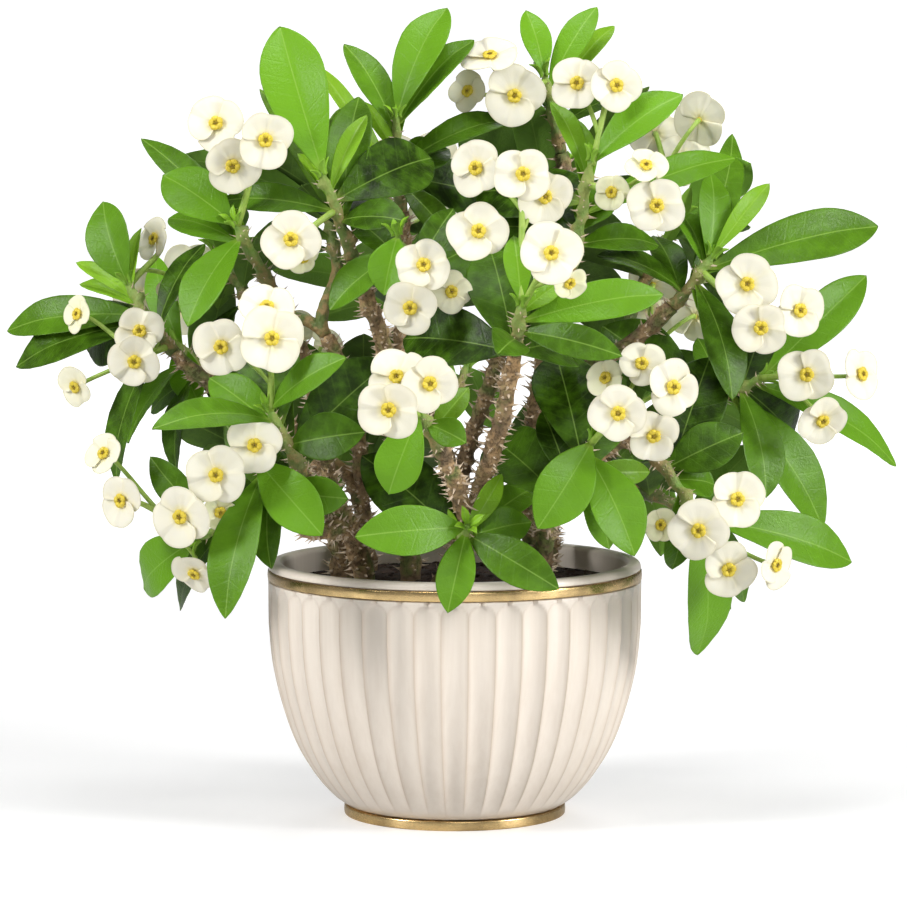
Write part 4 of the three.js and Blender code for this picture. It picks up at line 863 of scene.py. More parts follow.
def make_soil(settings, materials):
    around = even_angles(SOIL["sides"])
    rings = turned_rings([(radius, 0) for radius in np.linspace(1, SOIL_EDGE, SOIL["rings"])], around)
    rings[..., 2] = soil_height(rings[..., 0], rings[..., 1])
    inwards = ease(SOIL_EDGE, SOIL_EDGE - SOIL["smooth_edge"], np.hypot(rings[..., 0], rings[..., 1]))
    rings[..., 2] += rough(rings, SOIL["clods"]) * inwards
    below = turned_rings([(SOIL_EDGE - 0.1, 91), *SOIL["below"]], around)
    top = (0, 0, float(rings[0, :, 2].mean()))
    shape = Shape()
    shape.loft(top, np.concatenate([rings, below]), (0, 0, SOIL["bottom"]))
    add_crumbs(shape, settings.crumbs)
    shape.piece("soil_crumbly", materials, ["soil"])


def add_crumbs(shape, count):
    """Crumbs of soil and bark, each a squashed ball with a rough outline, half sunk in the surface."""
    drawn = random.Random(SEEDS["crumbs"])
    ball = bmesh.new()
    bmesh.ops.create_icosphere(ball, subdivisions=1, radius=1)
    corners = np.array([vertex.co[:] for vertex in ball.verts])
    faces = [[vertex.index for vertex in face.verts] for face in ball.faces]
    ball.free()
    for _ in range(count):
        radius = (SOIL_EDGE - CRUMB["from_edge"]) * math.sqrt(drawn.random())
        angle = drawn.uniform(0, 2 * math.pi)
        x, y = radius * math.cos(angle), radius * math.sin(angle)
        size = drawn.uniform(*CRUMB["size"])
        stretch = np.array([drawn.uniform(*span) for span in CRUMB["stretch"]])
        bumps = np.array([1 + drawn.uniform(-CRUMB["rough"], CRUMB["rough"]) for _ in corners])
        crumb = corners * stretch * bumps[:, None]
        spin = math.degrees(angle) * 3
        crumb = np.array([turned(corner, spin) for corner in crumb])
        shape.add(crumb * size + (x, y, float(soil_height(x, y))), faces)


# ---------------------------------------------------------------- woody stems and thorns


def thorn(shape, spot, length, width, slot, tilt):
    """A slender cone with a broad foot, bent a little along the stem, on a spot of the bark."""
    base, out, grow = spot
    shares = THORN["rings"]
    centres = base + out * (shares * length)[:, None] + grow * (tilt * shares**2)[:, None]
    ways = np.repeat(out[None], len(shares), axis=0)
    rings = tube_rings(centres, ways, width * THORN["taper"], THORN["sides"])
    tip = base + out * length + grow * tilt
    shape.loft(base - out * THORN["root"], rings, tip, slot, sharpness=shares, age=1.0)


def bark_tube(shape, centres, ways, radii, slot, age, spots=()):
    """A stem with a rough skin and a low wart at each spot, where a thorn has its foot."""
    rings = tube_rings(centres, ways, radii, BARK["sides"])
    spokes = rings - centres[:, None, :]
    spokes /= np.linalg.norm(spokes, axis=-1, keepdims=True)
    rise = rough(rings, BARK["hills"])
    for spot in spots:
        away = np.linalg.norm(rings - spot, axis=-1)
        rise += BARK["wart"] * np.exp(-((away / BARK["wart_size"]) ** 2))
    rings = rings + spokes * rise[..., None]
    start = centres[0] - ways[0] * BARK["foot_cap"]
    end = centres[-1] + ways[-1] * BARK["end_cap"]
    shape.loft(start, rings, end, slot, age=age, wart=np.clip(rise, 0, 1))


def solid_thorn_shares(run):
    """How far along a stem each of its regular thorns stands."""
    length = run.length()
    return np.arange(THORN["margin"], length - THORN["margin"], THORN["every"]) / length


def thorns_along(run, which, radius_at, longest, drawn):
    """The regular thorns of a run, and smaller ones between them on all sides.

    Each is its spot (the foot on the bark, the way out and the way the stem grows) and its length.
    """
    chord = unit(run.at(1) - run.at(0))
    towards = np.eye(3)[int(np.argmin(np.abs(chord)))]
    thorns = []
    for k, share in enumerate(solid_thorn_shares(run)):
        grow = run.way(share)
        angle = ((k + which) * 2 + 0.5) / THORN["flats"] * 2 * math.pi
        out = spun(square(towards, grow), grow, angle)
        thorns.append(((run.at(share) + out * radius_at(share), out, grow), longest))
    for _ in range(int(run.length() / THORN["small_every"])):
        share = drawn.uniform(*THORN["small_span"])
        length = longest * drawn.uniform(*THORN["small"])
        thorns.append(small_thorn(run, share, radius_at(share), length, drawn))
    return thorns


def small_thorn(curve, share, radius, length, drawn):
    """A thorn on any side of a stem, tilted a little up or down."""
    grow = curve.way(share)
    out = spun(square(UP + 0.01, grow), grow, drawn.uniform(0, 2 * math.pi))
    out = unit(out + grow * drawn.uniform(*THORN["lean"]))
    return (curve.at(share) + out * radius, out, grow), length


def wood_runs(name):
    """A main stem's runs, each with its curve and its radii at the start and the end: the trunk is first."""
    (x, y), fork, carries = MAIN_STEMS[name]
    collar = np.array([x, y, SOIL["level"] + STEM["collar"]])
    fork = place(*fork)
    rise = unit(unit(fork - collar) + UP)
    runs = [(bend(collar, UP, fork, rise), STEM["trunk"], STEM["fork"])]
    for number, shoot in enumerate(carries):
        start, grow = shoot_start(shoot)
        branch = bend(fork - rise * (STEM["sunk"] + number), rise, start - grow * STEM["joint"], grow)
        runs.append((branch, STEM["branch"] - STEM["thinner"] * number, STEM["end"]))
    return runs


def rooted(centres, ways, radii, steps=8):
    """A trunk's centres, ways and radii with a straight foot in the soil put before them."""
    x, y, level = centres[0]
    foot = [(x, y, height) for height in np.linspace(SOIL["foot"], level, steps, endpoint=False)]
    upright = np.repeat(UP[None], steps, axis=0)
    thick = np.full(steps, radii[0])
    return np.vstack([foot, centres]), np.vstack([upright, ways]), np.concatenate([thick, radii])


def wood_run(shape, which, run, ends, longest, drawn):
    """A trunk or branch of a main stem with its thorns."""

    def radius_at(share):
        return between(*ends, share)

    shares = np.linspace(0, 1, int(run.length() / STEM["step"]) + 1)
    skin = (run.at(shares), run.way(shares), radius_at(shares))
    oldest, youngest = STEM["branch_age"]
    if which == 0:
        skin = rooted(*skin)
        oldest, youngest = STEM["trunk_age"]
    thorns = thorns_along(run, which, radius_at, longest, drawn)
    age = np.linspace(oldest, youngest, len(skin[0]))
    bark_tube(shape, *skin, 0, age, [spot[0] for spot, _ in thorns])
    proud = THORN["proud"]
    for (base, out, grow), length in thorns:
        thorn(shape, (base + out * proud, out, grow), length - proud, THORN["width"], 1, THORN["tilt"])


def make_wood(settings, materials):
    for number, name in enumerate(MAIN_STEMS):
        drawn = random.Random(SEEDS["wood"] + number)
        shape = Shape("age", "wart", "sharpness")
        for which, (run, *ends) in enumerate(wood_runs(name)):
            wood_run(shape, which, run, ends, settings.thorn_length / MM, drawn)
        shape.piece(f"wood_{name[5:]}", materials, [name])


# ---------------------------------------------------------------- leafy shoots


def leaf_width(share, widest):
    """Half-width of a leaf along its length, as a share of the full one: a stalk, a belly, a round tip."""
    below = 1 - np.clip(1 - share / widest, 0, 1) ** 2
    above = 1 - np.clip((share - widest) / (1 - widest), 0, 1) ** 2
    return np.where(share < widest, below**1.15, above**0.82)


def leaf_section(columns):
    """Shares across a leaf, out along its upper face and back under it, and which are on the underside."""
    over = np.sin(np.linspace(-1, 1, 2 * columns + 1) * math.pi / 2)
    across = np.concatenate([over, over[::-1][1:-1]])
    under = np.concatenate([np.zeros(2 * columns + 1), np.ones(2 * columns - 1)])
    under[[0, 2 * columns]] = 0.5
    return across, under


def leaf_lift(s, across, x, reach, half, young, drawn):
    """How high a leaf's upper face stands over the line from its foot to its tip, and its side veins."""
    fold = drawn.uniform(*BLADE["fold"]) + BLADE["young_fold"] * young
    wave, phase = drawn.uniform(*BLADE["wave"]), drawn.uniform(*BLADE["phase"])
    curl = drawn.uniform(*BLADE["curl"])
    vein_gap = BLADE["vein_gap"] + BLADE["vein_spread"] * reach
    veins = (s * reach - BLADE["vein_slope"] * np.abs(x)) / vein_gap
    arch = LEAF["arch"] * reach * 4 * s * (1 - s) - curl * reach * ease(0.7, 1, s)
    folded = fold * np.abs(x) - BLADE["sunk"] - BLADE["fold_sunk"] * half * fold
    ripple = np.sin(veins * 2 * math.pi) * ease(0, 0.35, np.abs(across)) * ease(0.1, 0.3, s)
    edge = across**2 * np.sin(s * BLADE["waves"] + phase + across) * ease(0.15, 0.5, s)
    return arch + folded + BLADE["ripple"] * ripple + wave * edge * half / BLADE["full"], veins


def leaf(shape, setting, drawn):
    """A blade folded a little along its rib, with side veins, a wavy edge and a tip that turns down."""
    foot, tip, face, half = (setting[key] for key in ("foot", "tip", "face", "half"))
    axis = unit(tip - foot)
    side = np.cross(face, axis)
    reach = np.linalg.norm(tip - foot)
    rows, columns = BLADE["grid"] if half > BLADE["smallest"] else BLADE["small_grid"]
    shares = np.sin(np.linspace(BLADE["first_row"], 1, rows) * math.pi / 2) ** BLADE["crowding"]
    shares[-1] = BLADE["last_row"]
    s = shares[:, None]
    young = ease(BLADE["grown"], BLADE["young"], half)
    across, under = leaf_section(columns)
    blade = half * leaf_width(s, drawn.uniform(*BLADE["widest"]))
    x = across * np.maximum(blade, BLADE["stalk"] * (1 - s) ** BLADE["stalk_taper"])
    lift, veins = leaf_lift(s, across, x, reach, half, young, drawn)
    thick = BLADE["thick"] - BLADE["thin"] * np.abs(across) ** 1.5 + BLADE["foot_thick"] * ease(0.2, 0, s)
    rib = BLADE["rib_thick"] * np.exp(-((x / BLADE["rib_width"]) ** 2)) * (1 - s)
    lift = lift - under * (thick + rib)
    points = foot + axis * (s * reach)[..., None] + side * x[..., None] + face * lift[..., None]
    # A leaf's brightness: partly random, and partly falling from the shoot's tip down to the inner leaves,
    # which is both the darker green of older leaves and painted shade.
    tint = BLADE["chance"] * drawn.random() + BLADE["fresh_and_lit"] * setting["fresh_and_lit"]
    shape.loft(
        foot - axis * 0.5, points, points[-1].mean(axis=0) + axis * 0.5,
        from_rib=np.broadcast_to(np.abs(x), points.shape[:2]), along=shares,
        vein=veins + drawn.random(), under=under[None, :], young=young, tint=tint)


def tip_bud(shape, curve, drawn):
    """The smallest leaves, which stand round a shoot's tip."""
    grow, end = curve.way(1), curve.at(1)
    first = square(UP + np.array([0.3, 0, 0]), grow)  # never along the shoot, also where it grows upright
    start = drawn.uniform(0, math.pi)
    for k in range(BUD["leaves"]):
        out = spun(first, grow, start + k * 2 * math.pi / BUD["leaves"])
        length = drawn.uniform(*BUD["length"])
        axis = unit(grow + out * drawn.uniform(*BUD["lean"]))
        foot = end + (out - grow) * BUD["sunk"]
        setting = {"foot": foot, "tip": foot + axis * length, "face": square(grow, axis),
                   "half": length * BUD["wide"], "fresh_and_lit": 1}
        leaf(shape, setting, drawn)


def shoot_radius(share):
    return between(STEM["shoot"], STEM["tip"], share)


def shoot_stem(shape, curve, longest, drawn):
    """The green stem of a shoot with leaf scars and soft thorns."""
    length = curve.length()
    shares = np.linspace(0, 1, max(12, int(length / STEM["shoot_step"])) + 1)
    thorns = []
    for _ in range(int(length / THORN["soft_every"])):
        share = drawn.uniform(*THORN["soft_span"])
        soft = longest * drawn.uniform(*THORN["soft"])
        thorns.append(small_thorn(curve, share, shoot_radius(share), soft, drawn))
    spots = [spot[0] for spot, _ in thorns]
    bark_tube(shape, curve.at(shares), curve.way(shares), shoot_radius(shares), 1, shares, spots)
    for spot, soft in thorns:
        thorn(shape, spot, soft, THORN["soft_width"], 2, THORN["soft_tilt"])


def limb_tubes(shape, name):
    """The forked foot of a shoot with more than one arm."""
    arms = arms_of(name)
    if len(arms) == 1:
        return
    start, grow = shoot_start(name)
    for number, (_, _, _, curve) in enumerate(arms):
        way = curve.way(0)
        limb = bend(start + grow * number, grow, curve.at(0) + way * STEM["tip"], way)
        shares = np.linspace(0, 1, max(8, int(limb.length() / STEM["shoot_step"])))
        radii = between(STEM["end"], STEM["shoot"], shares)
        bark_tube(shape, limb.at(shares), limb.way(shares), radii, 1, STEM["limb_age"])


def arm_settings(node, like, turn, skip, curve):
    """The leaves of an arm as the solids hold them: its own from the tip down, then its inner ones."""
    count = len(SHOOTS[like]["leaves"])
    for number in range(count):
        if number not in skip:
            ideal = leaf_setting(like, turn, curve, number)
            best = node.best([swung(ideal, *swing) for swing in SWINGS], leaf_outline)
            yield {**best, "fresh_and_lit": 1 - number / count}
    for setting in inner_settings(turn, curve):
        if node.distance(leaf_outline(setting)) < INNER["match"]:
            yield setting


def make_shoots(settings, materials):
    for number, name in enumerate([*SHOOTS, *FAR_SHOOTS]):
        node = CadNode(f"shoot_{name}")
        drawn = random.Random(SEEDS["shoots"] + number)
        shape = Shape("from_rib", "along", "vein", "under", "young", "tint", "age", "wart", "sharpness")
        limb_tubes(shape, name)
        for like, turn, skip, curve in arms_of(name):
            shoot_stem(shape, curve, settings.thorn_length / MM, drawn)
            for setting in arm_settings(node, like, turn, skip, curve):
                leaf(shape, setting, drawn)
            tip_bud(shape, curve, drawn)
        shape.piece(f"leafy_{name}", materials, [f"shoot_{name}"])


# ---------------------------------------------------------------- blooms


def lobed(angles, centres, sizes):
    """Outline of a bract with two lobes: how far out it is, and the side of its lobe that a spoke is on."""
    reaches = np.array([
        size * np.maximum(np.cos(angles - centre), 0.02) ** BRACT["lobe_round"]
        for centre, size in zip(centres, sizes)])
    nearest = reaches.argmax(axis=0)
    beside = (angles - np.asarray(centres)[nearest]) / math.radians(BRACT["lobe_half"])
    return reaches.max(axis=0), np.clip(beside, -1.2, 1.2)


def sheet_faces(rows, columns):
    """Faces of a closed sheet: its top grid of points, the same grid below it, and the rim between."""
    half = rows * columns
    faces = []
    for row in range(rows - 1):
        for column in range(columns - 1):
            a = row * columns + column
            b = a + columns
            faces.append([a, a + 1, b + 1, b])
            faces.append([half + a, half + b, half + b + 1, half + a + 1])
    grid = np.arange(half).reshape(rows, columns)
    rim = np.concatenate([grid[:, 0], grid[-1, 1:], grid[-2::-1, -1], grid[0, -2:0:-1]]).tolist()
    for a, b in zip(rim, rim[1:] + rim[:1]):
        faces.append([a, b, half + b, half + a])
    return faces


def bract(shape, setting, turn, half_apart, drawn):
    """A broad bract of two lobes that each overlap the next, dished, with a rim that turns back a little."""
    centre, face, radius = setting["centre"], setting["face"], setting["radius"]
    way = spun(setting["way"], face, turn)
    side = np.cross(face, way)
    columns, rows = BRACT["columns"], BRACT["rows"]
    angles = np.radians(np.linspace(-BRACT["half_turn"], BRACT["half_turn"], columns))
    apart = math.radians(half_apart)
    sizes = (drawn.uniform(*BRACT["first_lobe"]), drawn.uniform(*BRACT["second_lobe"]))
    reach, beside = lobed(angles, (-apart, apart), sizes)
    scallops = np.sin(angles * BRACT["scallops"] + drawn.uniform(*BRACT["phase"]))
    reach = reach * radius * (1 + BRACT["scallop"] * scallops)
    tilt, dish = drawn.uniform(*BRACT["tilt"]), drawn.uniform(*BRACT["dish"])
    phase = drawn.uniform(*BRACT["phase"])
    shares = np.sin(np.linspace(BRACT["first_row"], 1, rows) * math.pi / 2)[:, None]
    wave = BRACT["wave"] * shares**2 * np.sin(angles * BRACT["waves"] + phase) * radius / FLOWER["full"]
    lift = dish * shares**1.5 + tilt * shares * np.sin(beside * 1.35)
    lift = lift - BRACT["rim_back"] * ease(0.8, 1, shares) + wave
    spokes = np.cos(angles)[:, None] * way + np.sin(angles)[:, None] * side
    top = centre + (shares * reach)[..., None] * spokes + lift[..., None] * face
    low = top - face * (BRACT["thick"] - BRACT["thin"] * shares)[..., None]
    # Where the yellowish painted shade of the slits between the lobes lies: at each lobe's sides, most
    # towards the middle.
    slit = ease(0.55, 1, np.abs(beside)) * (1 - shares * 0.7)
    shape.add(
        np.concatenate([top.reshape(-1, 3), low.reshape(-1, 3)]), sheet_faces(rows, columns),
        out=np.tile(np.repeat(shares[:, 0], columns), 2), slit=np.tile(slit.ravel(), 2),
        spoke=np.tile(np.sin(angles * BRACT["streaks"]), 2 * rows),
        under=np.repeat([0.0, 1.0], rows * columns), young=setting["young"], tint=drawn.random())


def ball(shape, centre, axes, sizes, slot, **paint):
    """A smooth pad on three axes with its own size along each."""
    a, b, c = (axis * size for axis, size in zip(axes, sizes))
    rings = []
    for lower in np.linspace(0, math.pi, 6)[1:-1]:
        level = centre + c * math.cos(lower)
        wide = math.sin(lower)
        rings.append([level + a * wide * math.cos(t) + b * wide * math.sin(t) for t in even_angles(8)])
    shape.loft(centre + c, rings, centre - c, slot, **paint)


def flower_middle(shape, setting, drawn):
    """The raised ring of five yellow glands round a dark star with its stamens."""
    centre, face, way = setting["centre"], setting["face"], setting["way"]
    size = 0.5 + 0.5 * min(1, setting["radius"] / FLOWER["full"])
    side = np.cross(face, way)

    def spoke_at(angle):
        return math.cos(angle) * way + math.sin(angle) * side

    def pad(offset, up, axes, sizes, slot, **paint):
        ball(shape, centre + (offset + face * up) * size, axes, np.array(sizes) * size, slot, **paint)

    cup = np.array([centre + face * height for height in (*CUP["heights"], CUP["rim"] * size)])
    ways = np.repeat(face[None], len(cup), axis=0)
    rings = tube_rings(cup, ways, np.array(CUP["radii"]) * size, CUP["sides"])
    shape.loft(centre + face * CUP["root"], rings, centre + face * CUP["top"] * size, 1)
    start = drawn.uniform(0, math.pi)
    for k in range(GLAND["count"]):
        angle = start + k * 2 * math.pi / GLAND["count"]
        spoke, gap = spoke_at(angle), spoke_at(angle + math.pi / GLAND["count"])
        beside = np.cross(face, spoke)
        pad(spoke * GLAND["out"], GLAND["up"], (beside, spoke, face), GLAND["size"], 1, out=1.0)
        pad(gap * STAR["out"], STAR["up"], (beside, gap, face), STAR["size"], 2)
    pad(0, STAR["middle_up"], (way, side, face), STAR["middle"], 2)


def stalk_tube(shape, curve, first, last):
    shares = np.linspace(0, 1, STALK["rings"])
    radii = between(first, last, shares) + STALK["flare"] * ease(0.85, 1, shares)
    rings = tube_rings(curve.at(shares), curve.way(shares), radii, STALK["sides"])
    shape.loft(curve.at(0), rings, curve.at(1), 3, out=shares)


def bloom_plan(name):
    """A cluster's shoot, depth, turn and flowers."""
    like, turn, shoot = FAR_BLOOMS.get(name, (name, 0, None))
    own_shoot, depth, flowers = BLOOMS[like]
    return shoot or own_shoot, depth, turn, flowers


def back_of(setting):
    """Where a flower's stalk ends."""
    return setting["centre"] - setting["face"] * FLOWER["thick"]


def main_stalk(shoot, main):
    """The curve of a cluster's main stalk, from beside its shoot to the first flower."""
    shares = np.arange(2, STALK["spots"]) / STALK["spots"]
    spots = [(curve, share) for *_, curve in arms_of(shoot) for share in shares]
    curve, share = min(spots, key=lambda spot: np.linalg.norm(spot[0].at(spot[1]) - main["centre"]))
    towards = unit(main["centre"] - curve.at(share))
    out = square(towards, curve.way(share))
    start = curve.at(share) + out * (shoot_radius(share) * STALK["foot"])
    return bend(start, towards, back_of(main), main["face"])


def placed_flowers(name):
    """The settings of a cluster's flowers where the solids hold them, and the shoot that bears them."""
    shoot, depth, turn, flowers = bloom_plan(name)
    node = CadNode(name)
    placed = []
    for number, flower in enumerate(flowers):
        ideal = flower_setting(name, depth, turn, flower, number)
        moved = [{**ideal, "centre": ideal["centre"] - ideal["face"] * shift} for shift in SHIFTS]
        best = node.best(moved, flower_outline)
        young = float(ease(FLOWER["grown"], FLOWER["young"], best["radius"]))
        placed.append({**best, "young": young})
    return placed, shoot


def side_stalk(shape, stalk, number, setting):
    """The stalk of a flower that isn't the first, forked off the cluster's main one."""
    share = STALK["first_fork"] + STALK["next_fork"] * (number - 1)
    fork, end = stalk.at(share), back_of(setting)
    way = unit(unit(end - fork) + stalk.way(share) * STALK["follow"])
    stalk_tube(shape, bend(fork, way, end, setting["face"]), STALK["pedicel"], STALK["flower_end"])


def make_blooms(materials):
    for number, name in enumerate([*BLOOMS, *FAR_BLOOMS]):
        placed, shoot = placed_flowers(name)
        drawn = random.Random(SEEDS["blooms"] + number)
        shape = Shape("out", "slit", "spoke", "under", "young", "tint")
        stalk = main_stalk(shoot, placed[0])
        stalk_tube(shape, stalk, STALK["peduncle"], STALK["pedicel"])
        for k, setting in enumerate(placed):
            if k:
                side_stalk(shape, stalk, k, setting)
            bract(shape, setting, 0.0, drawn.uniform(*BRACT["upper_apart"]), drawn)
            bract(shape, setting, math.pi, drawn.uniform(*BRACT["lower_apart"]), drawn)
            flower_middle(shape, setting, drawn)
        shape.piece(f"flowers_{name[6:]}", materials, [name])


# ---------------------------------------------------------------- shader groups


def new_group(name, inputs, outputs):
    """An empty shader group with named number inputs and outputs."""
    group = bpy.data.node_groups.new(name, "ShaderNodeTree")
    for socket, default in inputs.items():
        made = group.interface.new_socket(socket, in_out="INPUT", socket_type="NodeSocketFloat")
        made.default_value = default
    for socket in outputs:
        group.interface.new_socket(socket, in_out="OUTPUT", socket_type="NodeSocketFloat")
    return group, group.nodes.new("NodeGroupInput"), group.nodes.new("NodeGroupOutput")


def blotch_group():
    """Soft blotches in the piece's own space, as a mask between 0 and 1."""
    group, given, put = new_group(
        "Blotches",
        {"Size per Metre": 100.0, "Low": 0.4, "High": 0.6, "Roughness": 0.6, "Upright": 1.0}, ["Mask"])
    nodes, links = group.nodes, group.links
    where = nodes.new("ShaderNodeTexCoord")
    scale = nodes.new("ShaderNodeCombineXYZ")
    scale.inputs["X"].default_value = 1
    scale.inputs["Y"].default_value = 1
    scaled = nodes.new("ShaderNodeVectorMath")
    scaled.operation = "MULTIPLY"
    cloud = nodes.new("ShaderNodeTexNoise")
    cloud.inputs["Detail"].default_value = 5
    span = nodes.new("ShaderNodeMapRange")
    span.interpolation_type = "SMOOTHSTEP"
    links.new(given.outputs["Upright"], scale.inputs["Z"])
    links.new(where.outputs["Object"], scaled.inputs[0])
    links.new(scale.outputs["Vector"], scaled.inputs[1])
    links.new(scaled.outputs["Vector"], cloud.inputs["Vector"])
    links.new(given.outputs["Size per Metre"], cloud.inputs["Scale"])
    links.new(given.outputs["Roughness"], cloud.inputs["Roughness"])
    links.new(cloud.outputs["Fac"], span.inputs["Value"])
    links.new(given.outputs["Low"], span.inputs["From Min"])
    links.new(given.outputs["High"], span.inputs["From Max"])
    links.new(span.outputs["Result"], put.inputs["Mask"])
    return group


def line_group():
    """Evenly repeated fine lines where a running value passes whole numbers."""
    group, given, put = new_group("Fine Lines", {"Value": 0.0, "Half Width": 0.05}, ["Mask"])
    nodes, links = group.nodes, group.links
    part = nodes.new("ShaderNodeMath")
    part.operation = "PINGPONG"
    part.inputs[1].default_value = 0.5
    span = nodes.new("ShaderNodeMapRange")
    span.interpolation_type = "SMOOTHSTEP"
    span.inputs["From Min"].default_value = 0
    span.inputs["To Min"].default_value = 1
    span.inputs["To Max"].default_value = 0
    links.new(given.outputs["Value"], part.inputs[0])
    links.new(part.outputs[0], span.inputs["Value"])
    links.new(given.outputs["Half Width"], span.inputs["From Max"])
    links.new(span.outputs["Result"], put.inputs["Mask"])
    return group


# ---------------------------------------------------------------- materials

# The colours that aren't settings.
TINTS = {
    "soil_fleck": (0.16, 0.10, 0.06), "horn_streak": (0.30, 0.17, 0.09), "leaf_scar": (0.36, 0.31, 0.13),
    "stem_foot": (0.12, 0.17, 0.035), "stem_tip": (0.19, 0.36, 0.045),
    "side_vein": (0.20, 0.38, 0.05), "rib": (0.30, 0.48, 0.09), "leaf_foot": (0.32, 0.44, 0.07),
    "leaf_under": (0.18, 0.31, 0.07),
    # The bracts' fold colour here is yellowish painted shade for the slits between their lobes, and their
    # rim colour is painted shade along the rim.
    "young_bract": (0.82, 0.82, 0.50), "warm_bract": (0.86, 0.80, 0.62), "bract_slit_shade": (0.88, 0.80, 0.50),
    "throat": (0.86, 0.76, 0.30), "bract_rim_shade": (0.66, 0.60, 0.42), "bract_under": (0.78, 0.78, 0.55),
    "star": (0.16, 0.10, 0.015), "stamens": (0.45, 0.32, 0.04),
    "stalk": (0.26, 0.42, 0.05), "pale_stalk": (0.36, 0.50, 0.09),
}


def scaled(colour, times):
    """A colour made darker or brighter."""
    return tuple(min(1, part * times) for part in colour)


class Finish:
    """A material with one shader and short calls for the nodes that feed it."""

    def __init__(self, name, roughness, metallic=0.0, coat=0.0, coat_roughness=0.1):
        self.material = bpy.data.materials.new(name)
        self.material.use_nodes = True
        self.tree = self.material.node_tree
        self.shader = self.tree.nodes["Principled BSDF"]
        self.shader.inputs["Roughness"].default_value = roughness
        self.shader.inputs["Metallic"].default_value = metallic
        self.shader.inputs["Coat Weight"].default_value = coat
        self.shader.inputs["Coat Roughness"].default_value = coat_roughness

    def link(self, source, target):
        self.tree.links.new(source, target)

    def set(self, socket, value):
        """Feeds a socket from another, or writes the plain value into it."""
        if isinstance(value, bpy.types.NodeSocket):
            self.link(value, socket)
        else:
            socket.default_value = value

    def painted(self, name):
        """A value that the piece's points carry."""
        node = self.tree.nodes.new("ShaderNodeAttribute")
        node.attribute_name = name
        return node.outputs["Fac"]

    def grouped(self, name, **values):
        node = self.tree.nodes.new("ShaderNodeGroup")
        node.node_tree = bpy.data.node_groups[name]
        for socket, value in values.items():
            self.set(node.inputs[socket.replace("_", " ")], value)
        return node.outputs["Mask"]

    def blotches(self, per_metre, low, high, upright=1.0):
        """A mask of blotches; an upright share under 1 draws them out upwards."""
        return self.grouped("Blotches", Size_per_Metre=per_metre, Low=low, High=high, Upright=upright)

    def mix(self, share, first, second):
        """A colour between two others, each a socket or plain red, green and blue."""
        node = self.tree.nodes.new("ShaderNodeMix")
        node.data_type = "RGBA"
        self.set(node.inputs["Factor"], share)
        for socket, colour in ((node.inputs[6], first), (node.inputs[7], second)):
            self.set(socket, colour if isinstance(colour, bpy.types.NodeSocket) else (*colour, 1.0))
        return node.outputs[2]

    def math(self, operation, first, second):
        node = self.tree.nodes.new("ShaderNodeMath")
        node.operation = operation
        self.set(node.inputs[0], first)
        self.set(node.inputs[1], second)
        return node.outputs[0]

    def times(self, first, second):
        return self.math("MULTIPLY", first, second)

    def plus(self, first, second):
        return self.math("ADD", first, second)

    def spread(self, value, low, high, first=0.0, last=1.0):
        """A value's way from low to high made a smooth way from first to last."""
        node = self.tree.nodes.new("ShaderNodeMapRange")
        node.interpolation_type = "SMOOTHSTEP"
        self.set(node.inputs["Value"], value)
        limits = ("From Min", "From Max", "To Min", "To Max")
        for socket, number in zip(limits, (low, high, first, last)):
            node.inputs[socket].default_value = number
        return node.outputs["Result"]

    def colour(self, value):
        self.link(value, self.shader.inputs["Base Color"])

    def roughness(self, mask, smooth, dull):
        """Roughness from smooth to dull by a mask between 0 and 1."""
        self.link(self.spread(mask, 0, 1, smooth, dull), self.shader.inputs["Roughness"])

    def bump(self, height, distance, strength=1.0):
        """Fine relief from a height between 0 and 1, with its distance in mm."""
        node = self.tree.nodes.new("ShaderNodeBump")
        node.inputs["Strength"].default_value = strength
        node.inputs["Distance"].default_value = distance * MM
        self.link(height, node.inputs["Height"])
        self.link(node.outputs["Normal"], self.shader.inputs["Normal"])


def glaze_material(settings):
    finish = Finish("Cream Glaze", 0.34, coat=0.25, coat_roughness=0.2)
    broad = finish.blotches(60, 0.35, 0.75, upright=0.12)
    fine = finish.blotches(420, 0.35, 0.7, upright=0.03)
    streaks = finish.plus(finish.times(broad, 0.16), finish.times(fine, 0.12))
    cream = finish.mix(streaks, settings.glaze, settings.glaze_shade)
    # Painted shade: a darker line along each flute's ridge, in the glaze shade colour.
    ridge = finish.times(finish.painted("ridge"), 0.75)
    finish.colour(finish.mix(ridge, cream, settings.glaze_shade))
    finish.roughness(broad, 0.30, 0.40)
    finish.bump(fine, 0.05, 0.4)
    return finish.material


def gold_material(settings):
    finish = Finish("Satin Gold", 0.24, metallic=1.0)
    # Large patches of darker gold along the band.
    darker_patches = finish.blotches(24, 0.4, 0.6)
    brushed = finish.blotches(900, 0.3, 0.7, upright=6)
    finish.colour(finish.mix(darker_patches, settings.gold, scaled(settings.gold, 0.55)))
    finish.roughness(brushed, 0.24, 0.28)
    return finish.material


def soil_material(settings):
    finish = Finish("Potting Soil", 0.95)
    damp = finish.blotches(220, 0.35, 0.65)
    flecks = finish.blotches(900, 0.62, 0.7)
    brown = finish.mix(damp, settings.soil, scaled(settings.soil, 2.6))
    finish.colour(finish.mix(finish.times(flecks, 0.6), brown, TINTS["soil_fleck"]))
    finish.roughness(damp, 0.82, 1.0)
    finish.bump(finish.blotches(700, 0.2, 0.8), 0.5)
    return finish.material


